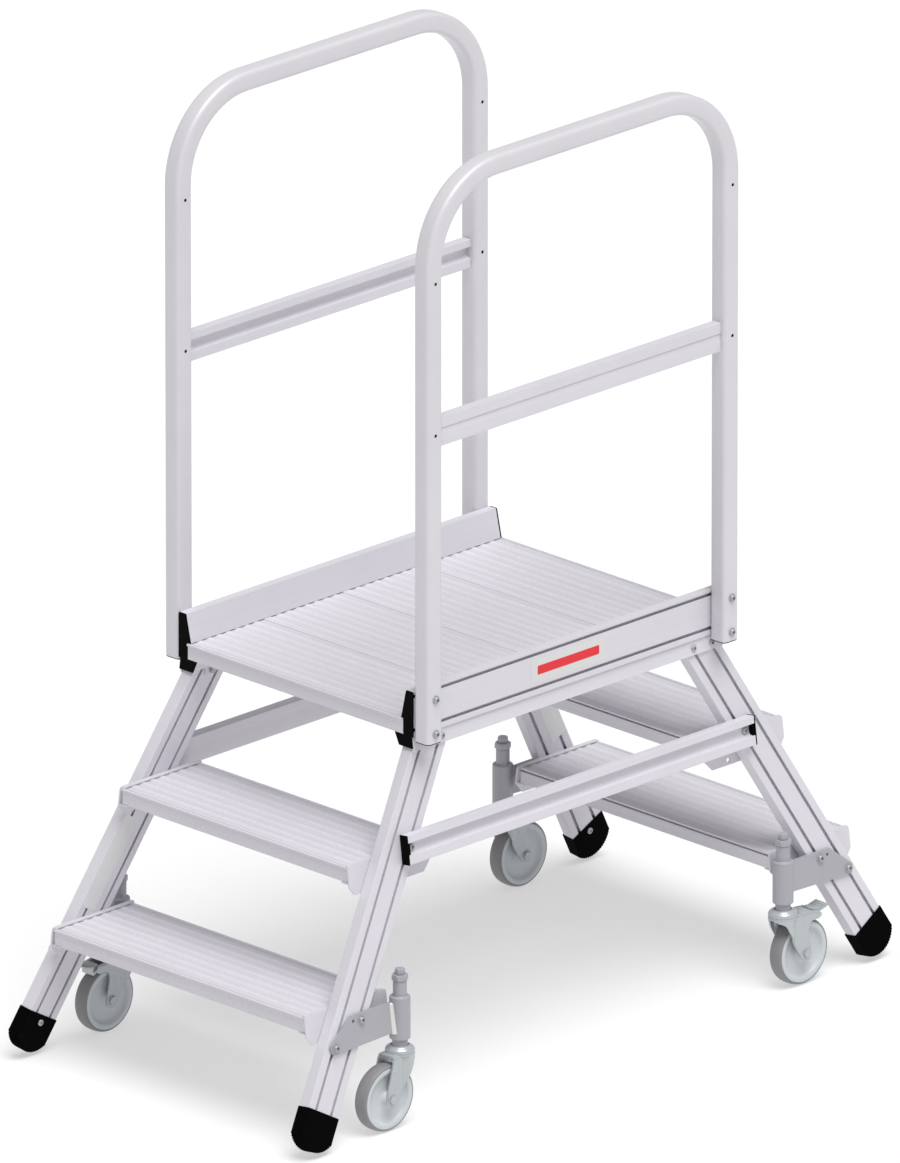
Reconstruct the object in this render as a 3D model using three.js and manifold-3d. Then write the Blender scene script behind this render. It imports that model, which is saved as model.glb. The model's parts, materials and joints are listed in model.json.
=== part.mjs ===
// Double-sided mobile platform steps: a ribbed deck reached by two treads from either end,
// carried by four splayed legs with rubber feet, guarded by two hoop handrails, and moved on
// four sprung swivel castors that lift the feet just clear of the floor until someone steps up.
//
// Millimetres, +Z up. X runs across the steps, Y along the climb, and the origin lies on the
// floor under the middle of the deck. The structure is the same on both sides and both ends.

import * as THREE from 'three';
import { mergeVertices } from 'three/addons/utils/BufferGeometryUtils.js';
import Module from 'manifold-3d';

const wasm = await Module();
wasm.setup();

// ---------------------------------------------------------------- driving dimensions

const GAP = 0.3;                                   // clearance between pieces that touch

// Levels
const RISE = 240;                                  // height of one step
const DECK_TOP = 726;                              // three rises, plus the feet held off the floor
const FOOT_LIFT = 6;                               // sole above the floor on unloaded castors

// Side panels: each side's legs, brace and brackets lie in one plane that leans inwards
const SPLAY = THREE.MathUtils.degToRad(7.5);       // lean of a side panel from upright
const LEG_SLOPE = THREE.MathUtils.degToRad(30);    // lean of a leg within its panel
const PANEL_X = 283.2;                             // outer face of the legs at deck level
const LEG_Y = 313.8;                               // centre line of a leg at deck level

// Leg extrusion
const LEG_WIDTH = 78;
const LEG_THICK = 25;
const LEG_CORNER = 2;
const LEG_TOP_DROP = 34;                           // leg tops below the deck top
const LEG_SLOT_OFFSET = 20;                        // T-slot centres either side of the middle
const SLOT = { mouth: 6.5, width: 11.5, lip: 2.2, depth: 7.5 };

// Rubber feet
const FOOT_WALL = 1;
const FOOT_SIDE = 51;                              // straight height of a foot above its sole
const SOLE_SAGITTA = 22;
const SOLE_TEETH = 17;
const TOOTH_DEPTH = 2;

// Deck and treads share one ribbed plank
const PLANK_HEIGHT = 30;
const PLANK_SKIN = 3;
const SKIRT = 2.5;
const NOSE_OVERHANG = 3;
const NOSE_DEPTH = 4;
const BAND = 8;                                    // flat band along each long edge
const RIB_COUNT = 7;
const RIB_PITCH = 23.6;
const RIB_HEIGHT = 1.6;
const STIFFENER_DEPTH = 20;
const HEM = { level: -4, height: 3.5, depth: 6 };  // slot along the back edge of a tread
const DECK_PLANKS = 4;
const DECK_LENGTH = 797;
const DECK_WIDTH = 545;
const TREAD_DEPTH = 198;
const TREAD_FRONT = 97.6;                          // tread front edge ahead of the leg centre line

// Step brackets clasp the tread ends against the legs
const CLASP_SHEET = 3;
const CLASP_FRONT = 98;
const CLASP_BACK = 107;
const CLASP_TOP_FLANGE = 7;
const CLASP_BOTTOM_FLANGE = 20;
const CLASP_WEB_DROP = 53;                         // deepest edge of the web below the tread top
const CLASP_FRONT_CORNER = { run: 12, drop: 37 };
const CLASP_BACK_CORNER = { run: 20, drop: 32 };
const CLASP_HOLE = { offset: -46, drop: 44, radius: 4.2 };

// Side beams: toe board above the deck, channel over the legs below it
const BEAM_OUTER_X = 296.5;
const BEAM_LENGTH = 784;
const TOE_HEIGHT = 54;
const TOE_THICK_TOP = 17;
const TOE_THICK_FOOT = 29;
const BEAM_STEP = 31;                              // where the outer face steps in to the flange
const FLANGE_THICK = 4.5;
const FLANGE_DROP = 60;
const LIP_INNER = 45;
const LIP_DROP = 53;
const BEAM_SLOT_LEVELS = [46, -18];

// Handrail hoops and knee rails
const HOOP_TUBE = 38;
const HOOP_WALL = 2.2;
const HOOP_CORNER = 9;
const HOOP_POST_Y = 375;
const HOOP_TOP = 1033;                             // above the deck
const HOOP_BOTTOM = -37;
const HOOP_BEND = 160;                             // centre-line radius
const HOOP_BEND_STEPS = 8;
const KNEE_LEVEL = 544;                            // rail centre above the deck

// Channelled rail used for the knee rails and the braces
const RAIL_HEIGHT = 54;
const RAIL_THICK = 18;
const RAIL_TOP_LIP = 14;
const RAIL_RECESS = 22.5;
const RAIL_RECESS_DEPTH = 11;
const RAIL_BACK_STEP = { top: 20, bottom: 36, depth: 2.2 };
const RAIL_WALL = 2;
const BRACE_TOP_DROP = 201;
const BRACE_HALF_LENGTH = 439;

// Castor brackets and sprung stems
const CASTOR_X = 356;
const CASTOR_Y = 486.7;
const BRACKET_SHEET = 5;
const BRACKET_TOP_DROP = 490;
const BRACKET_BOTTOM_DROP = 551;
const BRACKET_SHOULDER_Y = 610;
const BRACKET_END_Y = 651;
const BRACKET_END_DROP = 538.5;
const BRACKET_END_RADIUS = 12;
const SPARE_HOLE = { y: 602, drop: 501, radius: 3.2 };
const SLEEVE = { radius: 19, bore: 14.6, bottom: 165, top: 245 };
const CUP = { radius: 12.5, bore: 8.6, shoulder: 3, top: 274.5 };
const STEM_RADIUS = 8;
const COLLAR = { radius: 14, bottom: 150.6, top: 164.7 };
const NUT = { radius: 15.6, top: 286 };
const STEM_END = { radius: 10, top: 297 };
const SPRING = { outer: 13.6, inner: 9.4 };

// Castors
const WHEEL_RADIUS = 62.5;
const TRAIL = 40;
const TYRE_HALF = 15.5;
const TYRE_INNER = 55;
const HUB_BORE = 6.4;
const HUB_BOSS = 14;
const HUB_HALF = 17.6;
const HUB_WEB = 8;                                 // half thickness of the hub's web
const FORK_INNER = 18;
const FORK_SHEET = 3;
const CROWN = { radius: 27, bottom: 128, top: 141.7, dome: 150.3 };
const FORK_TAIL = 34;                              // crown plate behind the swivel axis
const BRAKED_TAIL = 46;                            // the same plate where it carries a brake
const AXLE_RADIUS = 6;
const AXLE_HEAD = { radius: 9, height: 3 };
const PEDAL_HALF = 17.2;
const PEDAL_PIVOT = { y: 70.5, z: 133 };
const PIVOT_PIN = 2.6;
const SHOE = { from: 56, to: 62, gap: 1.2 };       // where it meets the tyre, in degrees
const BRAKE_TRAVEL = THREE.MathUtils.degToRad(14);
const ROUND_STEPS = 20;

// Colours
const ALUMINIUM = { color: 0xd6d4db, roughness: 0.55, metalness: 0.35 };
const ZINC = { color: 0xb4b7bd, roughness: 0.5, metalness: 0.5 };
const BRIGHT_ZINC = { color: 0xbcc4c6, roughness: 0.35, metalness: 0.6 };
const SPRING_STEEL = { color: 0x8d9095, roughness: 0.4, metalness: 0.8 };
const BLACK_RUBBER = { color: 0x0c0c0d, roughness: 0.85, metalness: 0 };
const GREY_TYRE = { color: 0x9a999d, roughness: 0.75, metalness: 0 };
const PALE_HUB = { color: 0xd2d8da, roughness: 0.5, metalness: 0 };

// ---------------------------------------------------------------- geometry helpers

const AXIS_BASIS = {
  // Columns are where a shape's own x, y and extrusion directions go
  x: new THREE.Matrix4().makeBasis(
    new THREE.Vector3(0, 1, 0), new THREE.Vector3(0, 0, 1), new THREE.Vector3(1, 0, 0)),
  y: new THREE.Matrix4().makeBasis(
    new THREE.Vector3(1, 0, 0), new THREE.Vector3(0, 0, 1), new THREE.Vector3(0, -1, 0)),
  z: new THREE.Matrix4(),
};

function shapeOf(points) {
  return new THREE.Shape(points.map(([x, y]) => new THREE.Vector2(x, y)));
}

function withHoles(shape, ...outlines) {
  for (const points of outlines) {
    shape.holes.push(new THREE.Path(points.map(([x, y]) => new THREE.Vector2(x, y))));
  }
  return shape;
}

function rectangle(x0, y0, x1, y1) {
  return [[x0, y0], [x1, y0], [x1, y1], [x0, y1]];
}

// Points of an arc about (cx, cy), from one angle to another in degrees
function arc(cx, cy, radius, from, to, steps) {
  const points = [];
  for (let i = 0; i <= steps; i += 1) {
    const angle = THREE.MathUtils.degToRad(from + (to - from) * i / steps);
    points.push([cx + radius * Math.cos(angle), cy + radius * Math.sin(angle)]);
  }
  return points;
}

// A straight prism along one axis. Along x a shape is drawn in (y, z), along y in (x, z)
function prism(axis, shape, from, to) {
  const geometry = new THREE.ExtrudeGeometry(shape, {
    depth: to - from, bevelEnabled: false, curveSegments: 6,
  });
  geometry.translate(0, 0, axis === 'y' ? -to : from);
  geometry.applyMatrix4(AXIS_BASIS[axis]);
  return geometry;
}

// A prism along z whose two ends are cut by height functions of (x, y)
function cutPrism(shape, bottomAt, topAt) {
  const geometry = new THREE.ExtrudeGeometry(shape, { depth: 1, bevelEnabled: false });
  const position = geometry.getAttribute('position');
  for (let i = 0; i < position.count; i += 1) {
    const x = position.getX(i);
    const y = position.getY(i);
    position.setZ(i, position.getZ(i) < 0.5 ? bottomAt(x, y) : topAt(x, y));
  }
  return geometry;
}

// A section carried along a list of station matrices
function sweep(shape, stations) {
  const steps = stations.length - 1;
  const geometry = new THREE.ExtrudeGeometry(shape, { depth: steps, steps, bevelEnabled: false });
  const position = geometry.getAttribute('position');
  const point = new THREE.Vector3();
  for (let i = 0; i < position.count; i += 1) {
    point.set(position.getX(i), position.getY(i), 0);
    point.applyMatrix4(stations[Math.round(position.getZ(i))]);
    position.setXYZ(i, point.x, point.y, point.z);
  }
  return geometry;
}

// A turned solid about z from a closed outline of (radius, height) points
function turned(outline, steps = ROUND_STEPS) {
  const points = outline.map(([radius, height]) => new THREE.Vector2(radius, height));
  points.push(points[0].clone());
  const geometry = new THREE.LatheGeometry(points, steps);
  geometry.rotateX(Math.PI / 2);
  return geometry;
}

function cylinder(radius, bottom, top, steps = ROUND_STEPS) {
  const geometry = new THREE.CylinderGeometry(radius, radius, top - bottom, steps);
  geometry.rotateX(Math.PI / 2);
  geometry.translate(0, 0, (bottom + top) / 2);
  return geometry;
}

function crossCylinder(radius, halfLength, y, z, steps = ROUND_STEPS) {
  const geometry = new THREE.CylinderGeometry(radius, radius, 2 * halfLength, steps);
  geometry.rotateZ(Math.PI / 2);
  geometry.translate(0, y, z);
  return geometry;
}

function box(x0, y0, z0, x1, y1, z1) {
  const geometry = new THREE.BoxGeometry(x1 - x0, y1 - y0, z1 - z0);
  geometry.translate((x0 + x1) / 2, (y0 + y1) / 2, (z0 + z1) / 2);
  return geometry;
}

function solid(geometry) {
  const bare = geometry.clone();
  for (const name of ['normal', 'uv']) {
    if (bare.getAttribute(name)) {
      bare.deleteAttribute(name);
    }
  }
  const merged = mergeVertices(bare, 1e-4);
  return new wasm.Manifold(new wasm.Mesh({
    numProp: 3,
    vertProperties: merged.getAttribute('position').array,
    triVerts: new Uint32Array(merged.index.array),
  }));
}

function geometryOf(manifold) {
  const mesh = manifold.getMesh();
  const indexed = new THREE.BufferGeometry();
  indexed.setAttribute('position', new THREE.BufferAttribute(mesh.vertProperties, 3));
  indexed.setIndex(new THREE.BufferAttribute(mesh.triVerts, 1));
  const geometry = indexed.toNonIndexed();
  geometry.computeVertexNormals();
  return geometry;
}

function join(...geometries) {
  return geometryOf(geometries.map(solid).reduce((whole, piece) => whole.add(piece)));
}

function cut(geometry, ...tools) {
  return geometryOf(tools.map(solid).reduce((whole, tool) => whole.subtract(tool), solid(geometry)));
}

// ---------------------------------------------------------------- the tree of groups

const model = new THREE.Group();

function materialOf(look) {
  return new THREE.MeshStandardMaterial(look);
}

function place(parent, name, geometry, look, y = 0, turn = 0) {
  const mesh = new THREE.Mesh(geometry, materialOf(look));
  mesh.name = name;
  mesh.position.y = y;
  mesh.rotation.z = turn;
  parent.add(mesh);
  return mesh;
}

// Each side is the right-hand side turned half round, so a mirror twin is never needed
const SIDES = [{ name: 'right', turn: 0, sign: 1 }, { name: 'left', turn: Math.PI, sign: -1 }];

// Within a side, an end is +1 or -1 along that side's own y
const ENDS = [1, -1];

function endName(side, end) {
  return side.sign * end > 0 ? 'rear' : 'front';
}

const panelMatrix = new THREE.Matrix4()
  .makeRotationY(-SPLAY)
  .setPosition(PANEL_X, 0, DECK_TOP);

function sideGroups(side) {
  const half = new THREE.Group();
  half.rotation.z = side.turn;
  const panel = new THREE.Group();
  panel.position.set(PANEL_X, 0, DECK_TOP);
  panel.rotation.y = -SPLAY;
  half.add(panel);
  model.add(half);
  return { half, panel };
}

// Height up a side panel of a point a given drop below the deck top. Offset is the point's
// distance out from the legs' outer face, negative inwards.
function panelHeight(drop, offset = 0) {
  return -(drop + offset * Math.sin(SPLAY)) / Math.cos(SPLAY);
}

// Centre line of a leg at a given drop below the deck top
function legY(drop) {
  return LEG_Y - panelHeight(drop) * Math.tan(LEG_SLOPE);
}

// X on the legs' inner face at a given drop
function legInnerX(drop) {
  return PANEL_X + drop * Math.tan(SPLAY) - LEG_THICK / Math.cos(SPLAY);
}

// ---------------------------------------------------------------- sections

// Outline points of a T-slot cut into a straight side, at a distance along it
function slotPoints(start, along, inward, distance) {
  const { mouth, width, lip, depth } = SLOT;
  const profile = [
    [-mouth / 2, 0], [-mouth / 2, lip], [-width / 2, lip], [-width / 2, depth],
    [width / 2, depth], [width / 2, lip], [mouth / 2, lip], [mouth / 2, 0],
  ];
  return profile.map(([run, deep]) => [
    start[0] + along[0] * (distance + run) + inward[0] * deep,
    start[1] + along[1] * (distance + run) + inward[1] * deep,
  ]);
}

// Leg section in (thickness, width), outer face at x = 0
function legSection() {
  const half = LEG_WIDTH / 2;
  const r = LEG_CORNER;
  const near = half - LEG_SLOT_OFFSET;
  const far = half + LEG_SLOT_OFFSET;
  const outline = [
    ...arc(-r, -half + r, r, -90, 0, 2),
    ...slotPoints([0, -half], [0, 1], [-1, 0], near),
    ...slotPoints([0, -half], [0, 1], [-1, 0], far),
    ...arc(-r, half - r, r, 0, 90, 2),
    ...arc(-LEG_THICK + r, half - r, r, 90, 180, 2),
    ...slotPoints([-LEG_THICK, half], [0, -1], [1, 0], near),
    ...slotPoints([-LEG_THICK, half], [0, -1], [1, 0], far),
    ...arc(-LEG_THICK + r, -half + r, r, 180, 270, 2),
  ];
  const wall = 2.5;
  const cellEdge = LEG_SLOT_OFFSET - SLOT.width / 2 - wall / 2;
  const sideCell = LEG_SLOT_OFFSET + SLOT.width / 2 + wall / 2;
  return withHoles(
    shapeOf(outline),
    rectangle(-LEG_THICK + wall, -cellEdge, -wall, cellEdge),
    rectangle(-LEG_THICK + wall + 1, sideCell, -wall - 1, half - wall),
    rectangle(-LEG_THICK + wall + 1, -half + wall, -wall - 1, -sideCell),
  );
}

// Ribbed plank section in (depth, height): nosed edge at 0, ribs rising to the top at 0.
// A hemmed plank has a slot along its back edge.
function plankSection(depth, nosed, hemmed = false) {
  const skirtFront = nosed ? NOSE_OVERHANG : 0;
  const valley = -RIB_HEIGHT;
  const outline = [[skirtFront, -PLANK_HEIGHT]];
  if (nosed) {
    outline.push([skirtFront, -NOSE_DEPTH], [0, -NOSE_DEPTH]);
  }
  outline.push([0, -0.8], [0.8, 0], [BAND, 0], [BAND, valley]);
  for (let i = 0; i < RIB_COUNT; i += 1) {
    const middle = depth / 2 + (i - (RIB_COUNT - 1) / 2) * RIB_PITCH;
    outline.push([middle - 7, valley], [middle - 4, -0.4], [middle, 0]);
    outline.push([middle + 4, -0.4], [middle + 7, valley]);
  }
  outline.push([depth - BAND, valley], [depth - BAND, 0], [depth - 0.8, 0], [depth, -0.8]);
  const under = -RIB_HEIGHT - PLANK_SKIN;
  if (hemmed) {
    const { level, height, depth: reach } = HEM;
    outline.push([depth, level], [depth - reach, level], [depth - reach, level - height]);
    outline.push([depth, level - height], [depth, -PLANK_HEIGHT]);
    outline.push([depth - SKIRT, -PLANK_HEIGHT], [depth - SKIRT, level - height - SKIRT]);
    outline.push([depth - reach - SKIRT, level - height - SKIRT], [depth - reach - SKIRT, under]);
  } else {
    outline.push([depth, -PLANK_HEIGHT], [depth - SKIRT, -PLANK_HEIGHT], [depth - SKIRT, under]);
  }
  for (const share of [2 / 3, 1 / 3]) {
    const web = depth * share;
    outline.push([web + 1, under], [web + 1, under - STIFFENER_DEPTH]);
    outline.push([web - 1, under - STIFFENER_DEPTH], [web - 1, under]);
  }
  outline.push([skirtFront + SKIRT, under], [skirtFront + SKIRT, -PLANK_HEIGHT]);
  return shapeOf(outline);
}

// A section's mirror image in its vertical axis, holes included
function mirrored(shape) {
  const flip = (path) => path.getPoints().map((point) => [-point.x, point.y]).reverse();
  return withHoles(shapeOf(flip(shape)), ...shape.holes.map(flip));
}

// Side beam section in (x, height above the deck top)
function beamSection() {
  const outer = BEAM_OUTER_X;
  const legOuterX = (drop) => PANEL_X + drop * Math.tan(SPLAY);
  const roof = LEG_TOP_DROP - 1;
  const deckEdge = DECK_WIDTH / 2 + GAP;
  const underDeck = -PLANK_HEIGHT - GAP;
  const flangeOuter = (drop) => legOuterX(drop) + GAP + FLANGE_THICK;
  const outline = [
    [outer, TOE_HEIGHT],
    [outer - TOE_THICK_TOP, TOE_HEIGHT],
    [outer - TOE_THICK_FOOT, GAP],
    [deckEdge, GAP],
    [deckEdge, underDeck],
    [outer - LIP_INNER, underDeck],
    [legInnerX(LIP_DROP) - GAP - 2, -LIP_DROP],
    [legInnerX(LIP_DROP) - GAP, -LIP_DROP],
    [legInnerX(roof) - GAP, -roof],
    [legOuterX(roof) + GAP, -roof],
    [legOuterX(FLANGE_DROP) + GAP, -FLANGE_DROP],
    [flangeOuter(FLANGE_DROP), -FLANGE_DROP],
    [flangeOuter(BEAM_STEP), -BEAM_STEP],
    [outer, -BEAM_STEP],
    ...slotPoints([outer, 0], [0, 1], [-1, 0], BEAM_SLOT_LEVELS[1]),
    ...slotPoints([outer, 0], [0, 1], [-1, 0], BEAM_SLOT_LEVELS[0]),
  ];
  const wall = 2.5;
  const slant = (TOE_THICK_FOOT - TOE_THICK_TOP) / TOE_HEIGHT;
  const innerFace = (level) => outer - TOE_THICK_FOOT + level * slant;
  const toeCell = [
    [innerFace(4) + wall, 4],
    [outer - wall, 4],
    [outer - wall, 37],
    [innerFace(37) + wall, 37],
  ];
  const slotBack = outer - SLOT.depth - wall;
  const footCell = rectangle(deckEdge + wall, -BEAM_STEP + 3, slotBack, -3);
  return withHoles(shapeOf(outline), toeCell, footCell);
}

// Channelled rail section in (thickness, height): recess open towards +x with a rounded
// floor edge, back at x = 0 with a shallow step
function railSection() {
  const recessTop = RAIL_HEIGHT / 2 - RAIL_TOP_LIP;
  const recessBottom = recessTop - RAIL_RECESS;
  const floor = RAIL_THICK - RAIL_RECESS_DEPTH;
  const half = RAIL_HEIGHT / 2;
  const outline = [
    [0, -half], [RAIL_THICK, -half], [RAIL_THICK, recessBottom],
    [floor + 5.5, recessBottom + 0.9], [floor + 2, recessBottom + 2.8], [floor, recessBottom + 6],
    [floor, recessTop], [RAIL_THICK, recessTop], [RAIL_THICK, half], [0, half],
    [0, half - RAIL_BACK_STEP.top], [RAIL_BACK_STEP.depth, half - RAIL_BACK_STEP.top],
    [0, half - RAIL_BACK_STEP.bottom],
  ];
  const wall = RAIL_WALL;
  return withHoles(
    shapeOf(outline),
    rectangle(wall, recessTop + wall, RAIL_THICK - wall, half - wall),
    rectangle(wall, -half + wall, RAIL_THICK - wall, recessBottom - wall),
  );
}

function roundedSquare(size, corner, steps) {
  const inner = size / 2 - corner;
  return [
    ...arc(inner, inner, corner, 0, 90, steps),
    ...arc(-inner, inner, corner, 90, 180, steps),
    ...arc(-inner, -inner, corner, 180, 270, steps),
    ...arc(inner, -inner, corner, 270, 360, steps),
  ];
}

// ---------------------------------------------------------------- deck and treads

function addDeck() {
  const pitch = DECK_LENGTH / DECK_PLANKS;
  const depth = pitch - GAP;
  const nosed = plankSection(depth, true);
  const plain = plankSection(depth, false);
  for (let i = 0; i < DECK_PLANKS; i += 1) {
    const first = i === 0;
    const last = i === DECK_PLANKS - 1;
    const section = last ? mirrored(nosed) : (first ? nosed : plain);
    const edge = -DECK_LENGTH / 2 + i * pitch + (last ? pitch : GAP / 2);
    const geometry = prism('x', section, -DECK_WIDTH / 2, DECK_WIDTH / 2);
    geometry.translate(0, first ? edge - GAP / 2 : edge, DECK_TOP);
    place(model, `deck_plank_${i + 1}`, geometry, ALUMINIUM);
  }
}

const LEVELS = [{ name: 'upper', drop: RISE }, { name: 'lower', drop: 2 * RISE }];

function addTreads() {
  for (const level of LEVELS) {
    const half = legInnerX(level.drop - CLASP_SHEET) - (2 * GAP + CLASP_SHEET) / Math.cos(SPLAY);
    const section = plankSection(TREAD_DEPTH, true, true);
    for (const end of ENDS) {
      const front = legY(level.drop) + TREAD_FRONT;
      const shape = end < 0 ? section : mirrored(section);
      const geometry = prism('x', shape, -half, half);
      geometry.translate(0, end * front, DECK_TOP - level.drop);
      place(model, `tread_${end < 0 ? 'front' : 'rear'}_${level.name}`, geometry, ALUMINIUM);
    }
  }
}

// Clasp that holds one tread end, in the side panel's own frame
function claspGeometry(level, end) {
  const sheet = CLASP_SHEET;
  const middle = legY(level.drop);
  const front = middle + CLASP_FRONT;
  const back = middle - CLASP_BACK;
  const offset = -LEG_THICK - GAP - sheet / 2;
  const top = panelHeight(level.drop - sheet - GAP, offset);
  const bottom = panelHeight(level.drop + CLASP_WEB_DROP, offset);
  const frontHem = panelHeight(level.drop + CLASP_FRONT_CORNER.drop, offset);
  const backHem = panelHeight(level.drop + CLASP_BACK_CORNER.drop, offset);
  const r = 6;
  const outline = [
    [back, backHem],
    [back + CLASP_BACK_CORNER.run, bottom],
    [front - CLASP_FRONT_CORNER.run, bottom],
    [front, frontHem],
    ...arc(front - r, top - r, r, 0, 90, 2),
    ...arc(back + r, top - r, r, 90, 180, 2),
  ];
  const hole = arc(
    middle + CLASP_HOLE.offset, panelHeight(level.drop + CLASP_HOLE.drop, offset),
    CLASP_HOLE.radius, 0, 337.5, 15,
  );
  const flip = (path) => (end > 0 ? path : path.map(([y, z]) => [-y, z]).reverse());
  const web = prism(
    'x', withHoles(shapeOf(flip(outline)), flip(hole)),
    -LEG_THICK - GAP - sheet, -LEG_THICK - GAP,
  );
  const plateX = (drop) => legInnerX(drop) - (GAP + sheet / 2) / Math.cos(SPLAY);
  const toPanel = panelMatrix.clone().invert();
  const treadTop = DECK_TOP - level.drop;
  const y0 = Math.min(end * (back + r), end * (front - 2));
  const y1 = Math.max(end * (back + r), end * (front - 2));
  const topFlange = box(
    plateX(level.drop) - CLASP_TOP_FLANGE, y0, treadTop + GAP,
    plateX(level.drop), y1, treadTop + GAP + sheet - 0.5,
  );
  const underside = treadTop - PLANK_HEIGHT - GAP;
  const bottomFlange = box(
    plateX(level.drop + PLANK_HEIGHT) - CLASP_BOTTOM_FLANGE, y0, underside - sheet + 0.5,
    plateX(level.drop + PLANK_HEIGHT), y1, underside,
  );
  topFlange.applyMatrix4(toPanel);
  bottomFlange.applyMatrix4(toPanel);
  return join(web, topFlange, bottomFlange);
}

// ---------------------------------------------------------------- legs and feet

const FOOT_HALF = LEG_WIDTH / 2 + GAP + FOOT_WALL;
const SOLE_RADIUS = (FOOT_HALF ** 2 + SOLE_SAGITTA ** 2) / (2 * SOLE_SAGITTA);

// Distance of the sole arc's centre down the leg from the deck-level point, so that the
// lowest edge of the sole is at the foot lift
function soleCentreDistance() {
  const innerEdge = -LEG_THICK - GAP - FOOT_WALL;
  const drop = DECK_TOP - FOOT_LIFT + innerEdge * Math.sin(SPLAY);
  return (drop / Math.cos(SPLAY) - SOLE_RADIUS) / Math.cos(LEG_SLOPE);
}

const SOLE_CENTRE = -soleCentreDistance();
const SOLE_CHORD = SOLE_CENTRE - SOLE_RADIUS + SOLE_SAGITTA;
const LEG_BOTTOM = SOLE_CHORD + 6;

// A leg runs along z, tilted about x by the angle given; its top is cut level
function legGeometry(tilt) {
  const level = (x, y) => (
    (-LEG_TOP_DROP - x * Math.sin(SPLAY)) / Math.cos(SPLAY) - y * Math.sin(tilt)
  ) / Math.cos(tilt);
  return cutPrism(legSection(), () => LEG_BOTTOM, level);
}

function footGeometry() {
  const span = THREE.MathUtils.radToDeg(Math.asin(FOOT_HALF / SOLE_RADIUS));
  const outline = [[FOOT_HALF, SOLE_CHORD + FOOT_SIDE], [-FOOT_HALF, SOLE_CHORD + FOOT_SIDE]];
  const steps = 2 * SOLE_TEETH;
  for (let i = 0; i <= steps; i += 1) {
    const angle = THREE.MathUtils.degToRad(270 - span + 2 * span * i / steps);
    const radius = SOLE_RADIUS - (i % 2 === 1 ? TOOTH_DEPTH : 0);
    outline.push([radius * Math.cos(angle), SOLE_CENTRE + radius * Math.sin(angle)]);
  }
  const inner = -LEG_THICK - GAP;
  const body = prism('x', shapeOf(outline), inner - FOOT_WALL, GAP + FOOT_WALL);
  const socket = box(
    inner, -LEG_WIDTH / 2 - GAP, LEG_BOTTOM - GAP,
    GAP, LEG_WIDTH / 2 + GAP, SOLE_CHORD + FOOT_SIDE + 1,
  );
  return cut(body, socket);
}

// ---------------------------------------------------------------- rails

function hoopGeometry() {
  const section = withHoles(
    shapeOf(roundedSquare(HOOP_TUBE, HOOP_CORNER, 3)),
    roundedSquare(HOOP_TUBE - 2 * HOOP_WALL, HOOP_CORNER - HOOP_WALL, 1),
  );
  const top = DECK_TOP + HOOP_TOP - HOOP_TUBE / 2;
  const bendY = HOOP_POST_Y - HOOP_BEND;
  const bendZ = top - HOOP_BEND;
  const across = new THREE.Vector3(1, 0, 0);
  const station = (y, z, heading) => {
    const tangent = new THREE.Vector3(0, Math.sin(heading), Math.cos(heading));
    const normal = new THREE.Vector3().crossVectors(tangent, across);
    return new THREE.Matrix4().makeBasis(across, normal, tangent).setPosition(0, y, z);
  };
  const stations = [station(-HOOP_POST_Y, DECK_TOP + HOOP_BOTTOM, 0)];
  for (const bend of [{ y: -bendY, start: 0 }, { y: bendY, start: Math.PI / 2 }]) {
    for (let i = 0; i <= HOOP_BEND_STEPS; i += 1) {
      const heading = bend.start + (Math.PI / 2) * i / HOOP_BEND_STEPS;
      stations.push(station(
        bend.y - HOOP_BEND * Math.cos(heading), bendZ + HOOP_BEND * Math.sin(heading), heading,
      ));
    }
  }
  stations.push(station(HOOP_POST_Y, DECK_TOP + HOOP_BOTTOM, Math.PI));
  const geometry = sweep(section, stations);
  geometry.translate(BEAM_OUTER_X + GAP + HOOP_TUBE / 2, 0, 0);
  return geometry;
}

function kneeRailGeometry() {
  const half = HOOP_POST_Y - HOOP_TUBE / 2 - GAP;
  const geometry = prism('y', mirrored(railSection()), -half, half);
  const middle = BEAM_OUTER_X + GAP + HOOP_TUBE / 2;
  geometry.translate(middle + RAIL_THICK / 2, 0, DECK_TOP + KNEE_LEVEL);
  return geometry;
}

function braceGeometry() {
  const geometry = prism('y', railSection(), -BRACE_HALF_LENGTH, BRACE_HALF_LENGTH);
  geometry.translate(GAP, 0, panelHeight(BRACE_TOP_DROP) - RAIL_HEIGHT / 2);
  return geometry;
}

function beamGeometry() {
  const geometry = prism('y', beamSection(), -BEAM_LENGTH / 2, BEAM_LENGTH / 2);
  geometry.translate(0, 0, DECK_TOP);
  return geometry;
}

// ---------------------------------------------------------------- castor mountings

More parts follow.
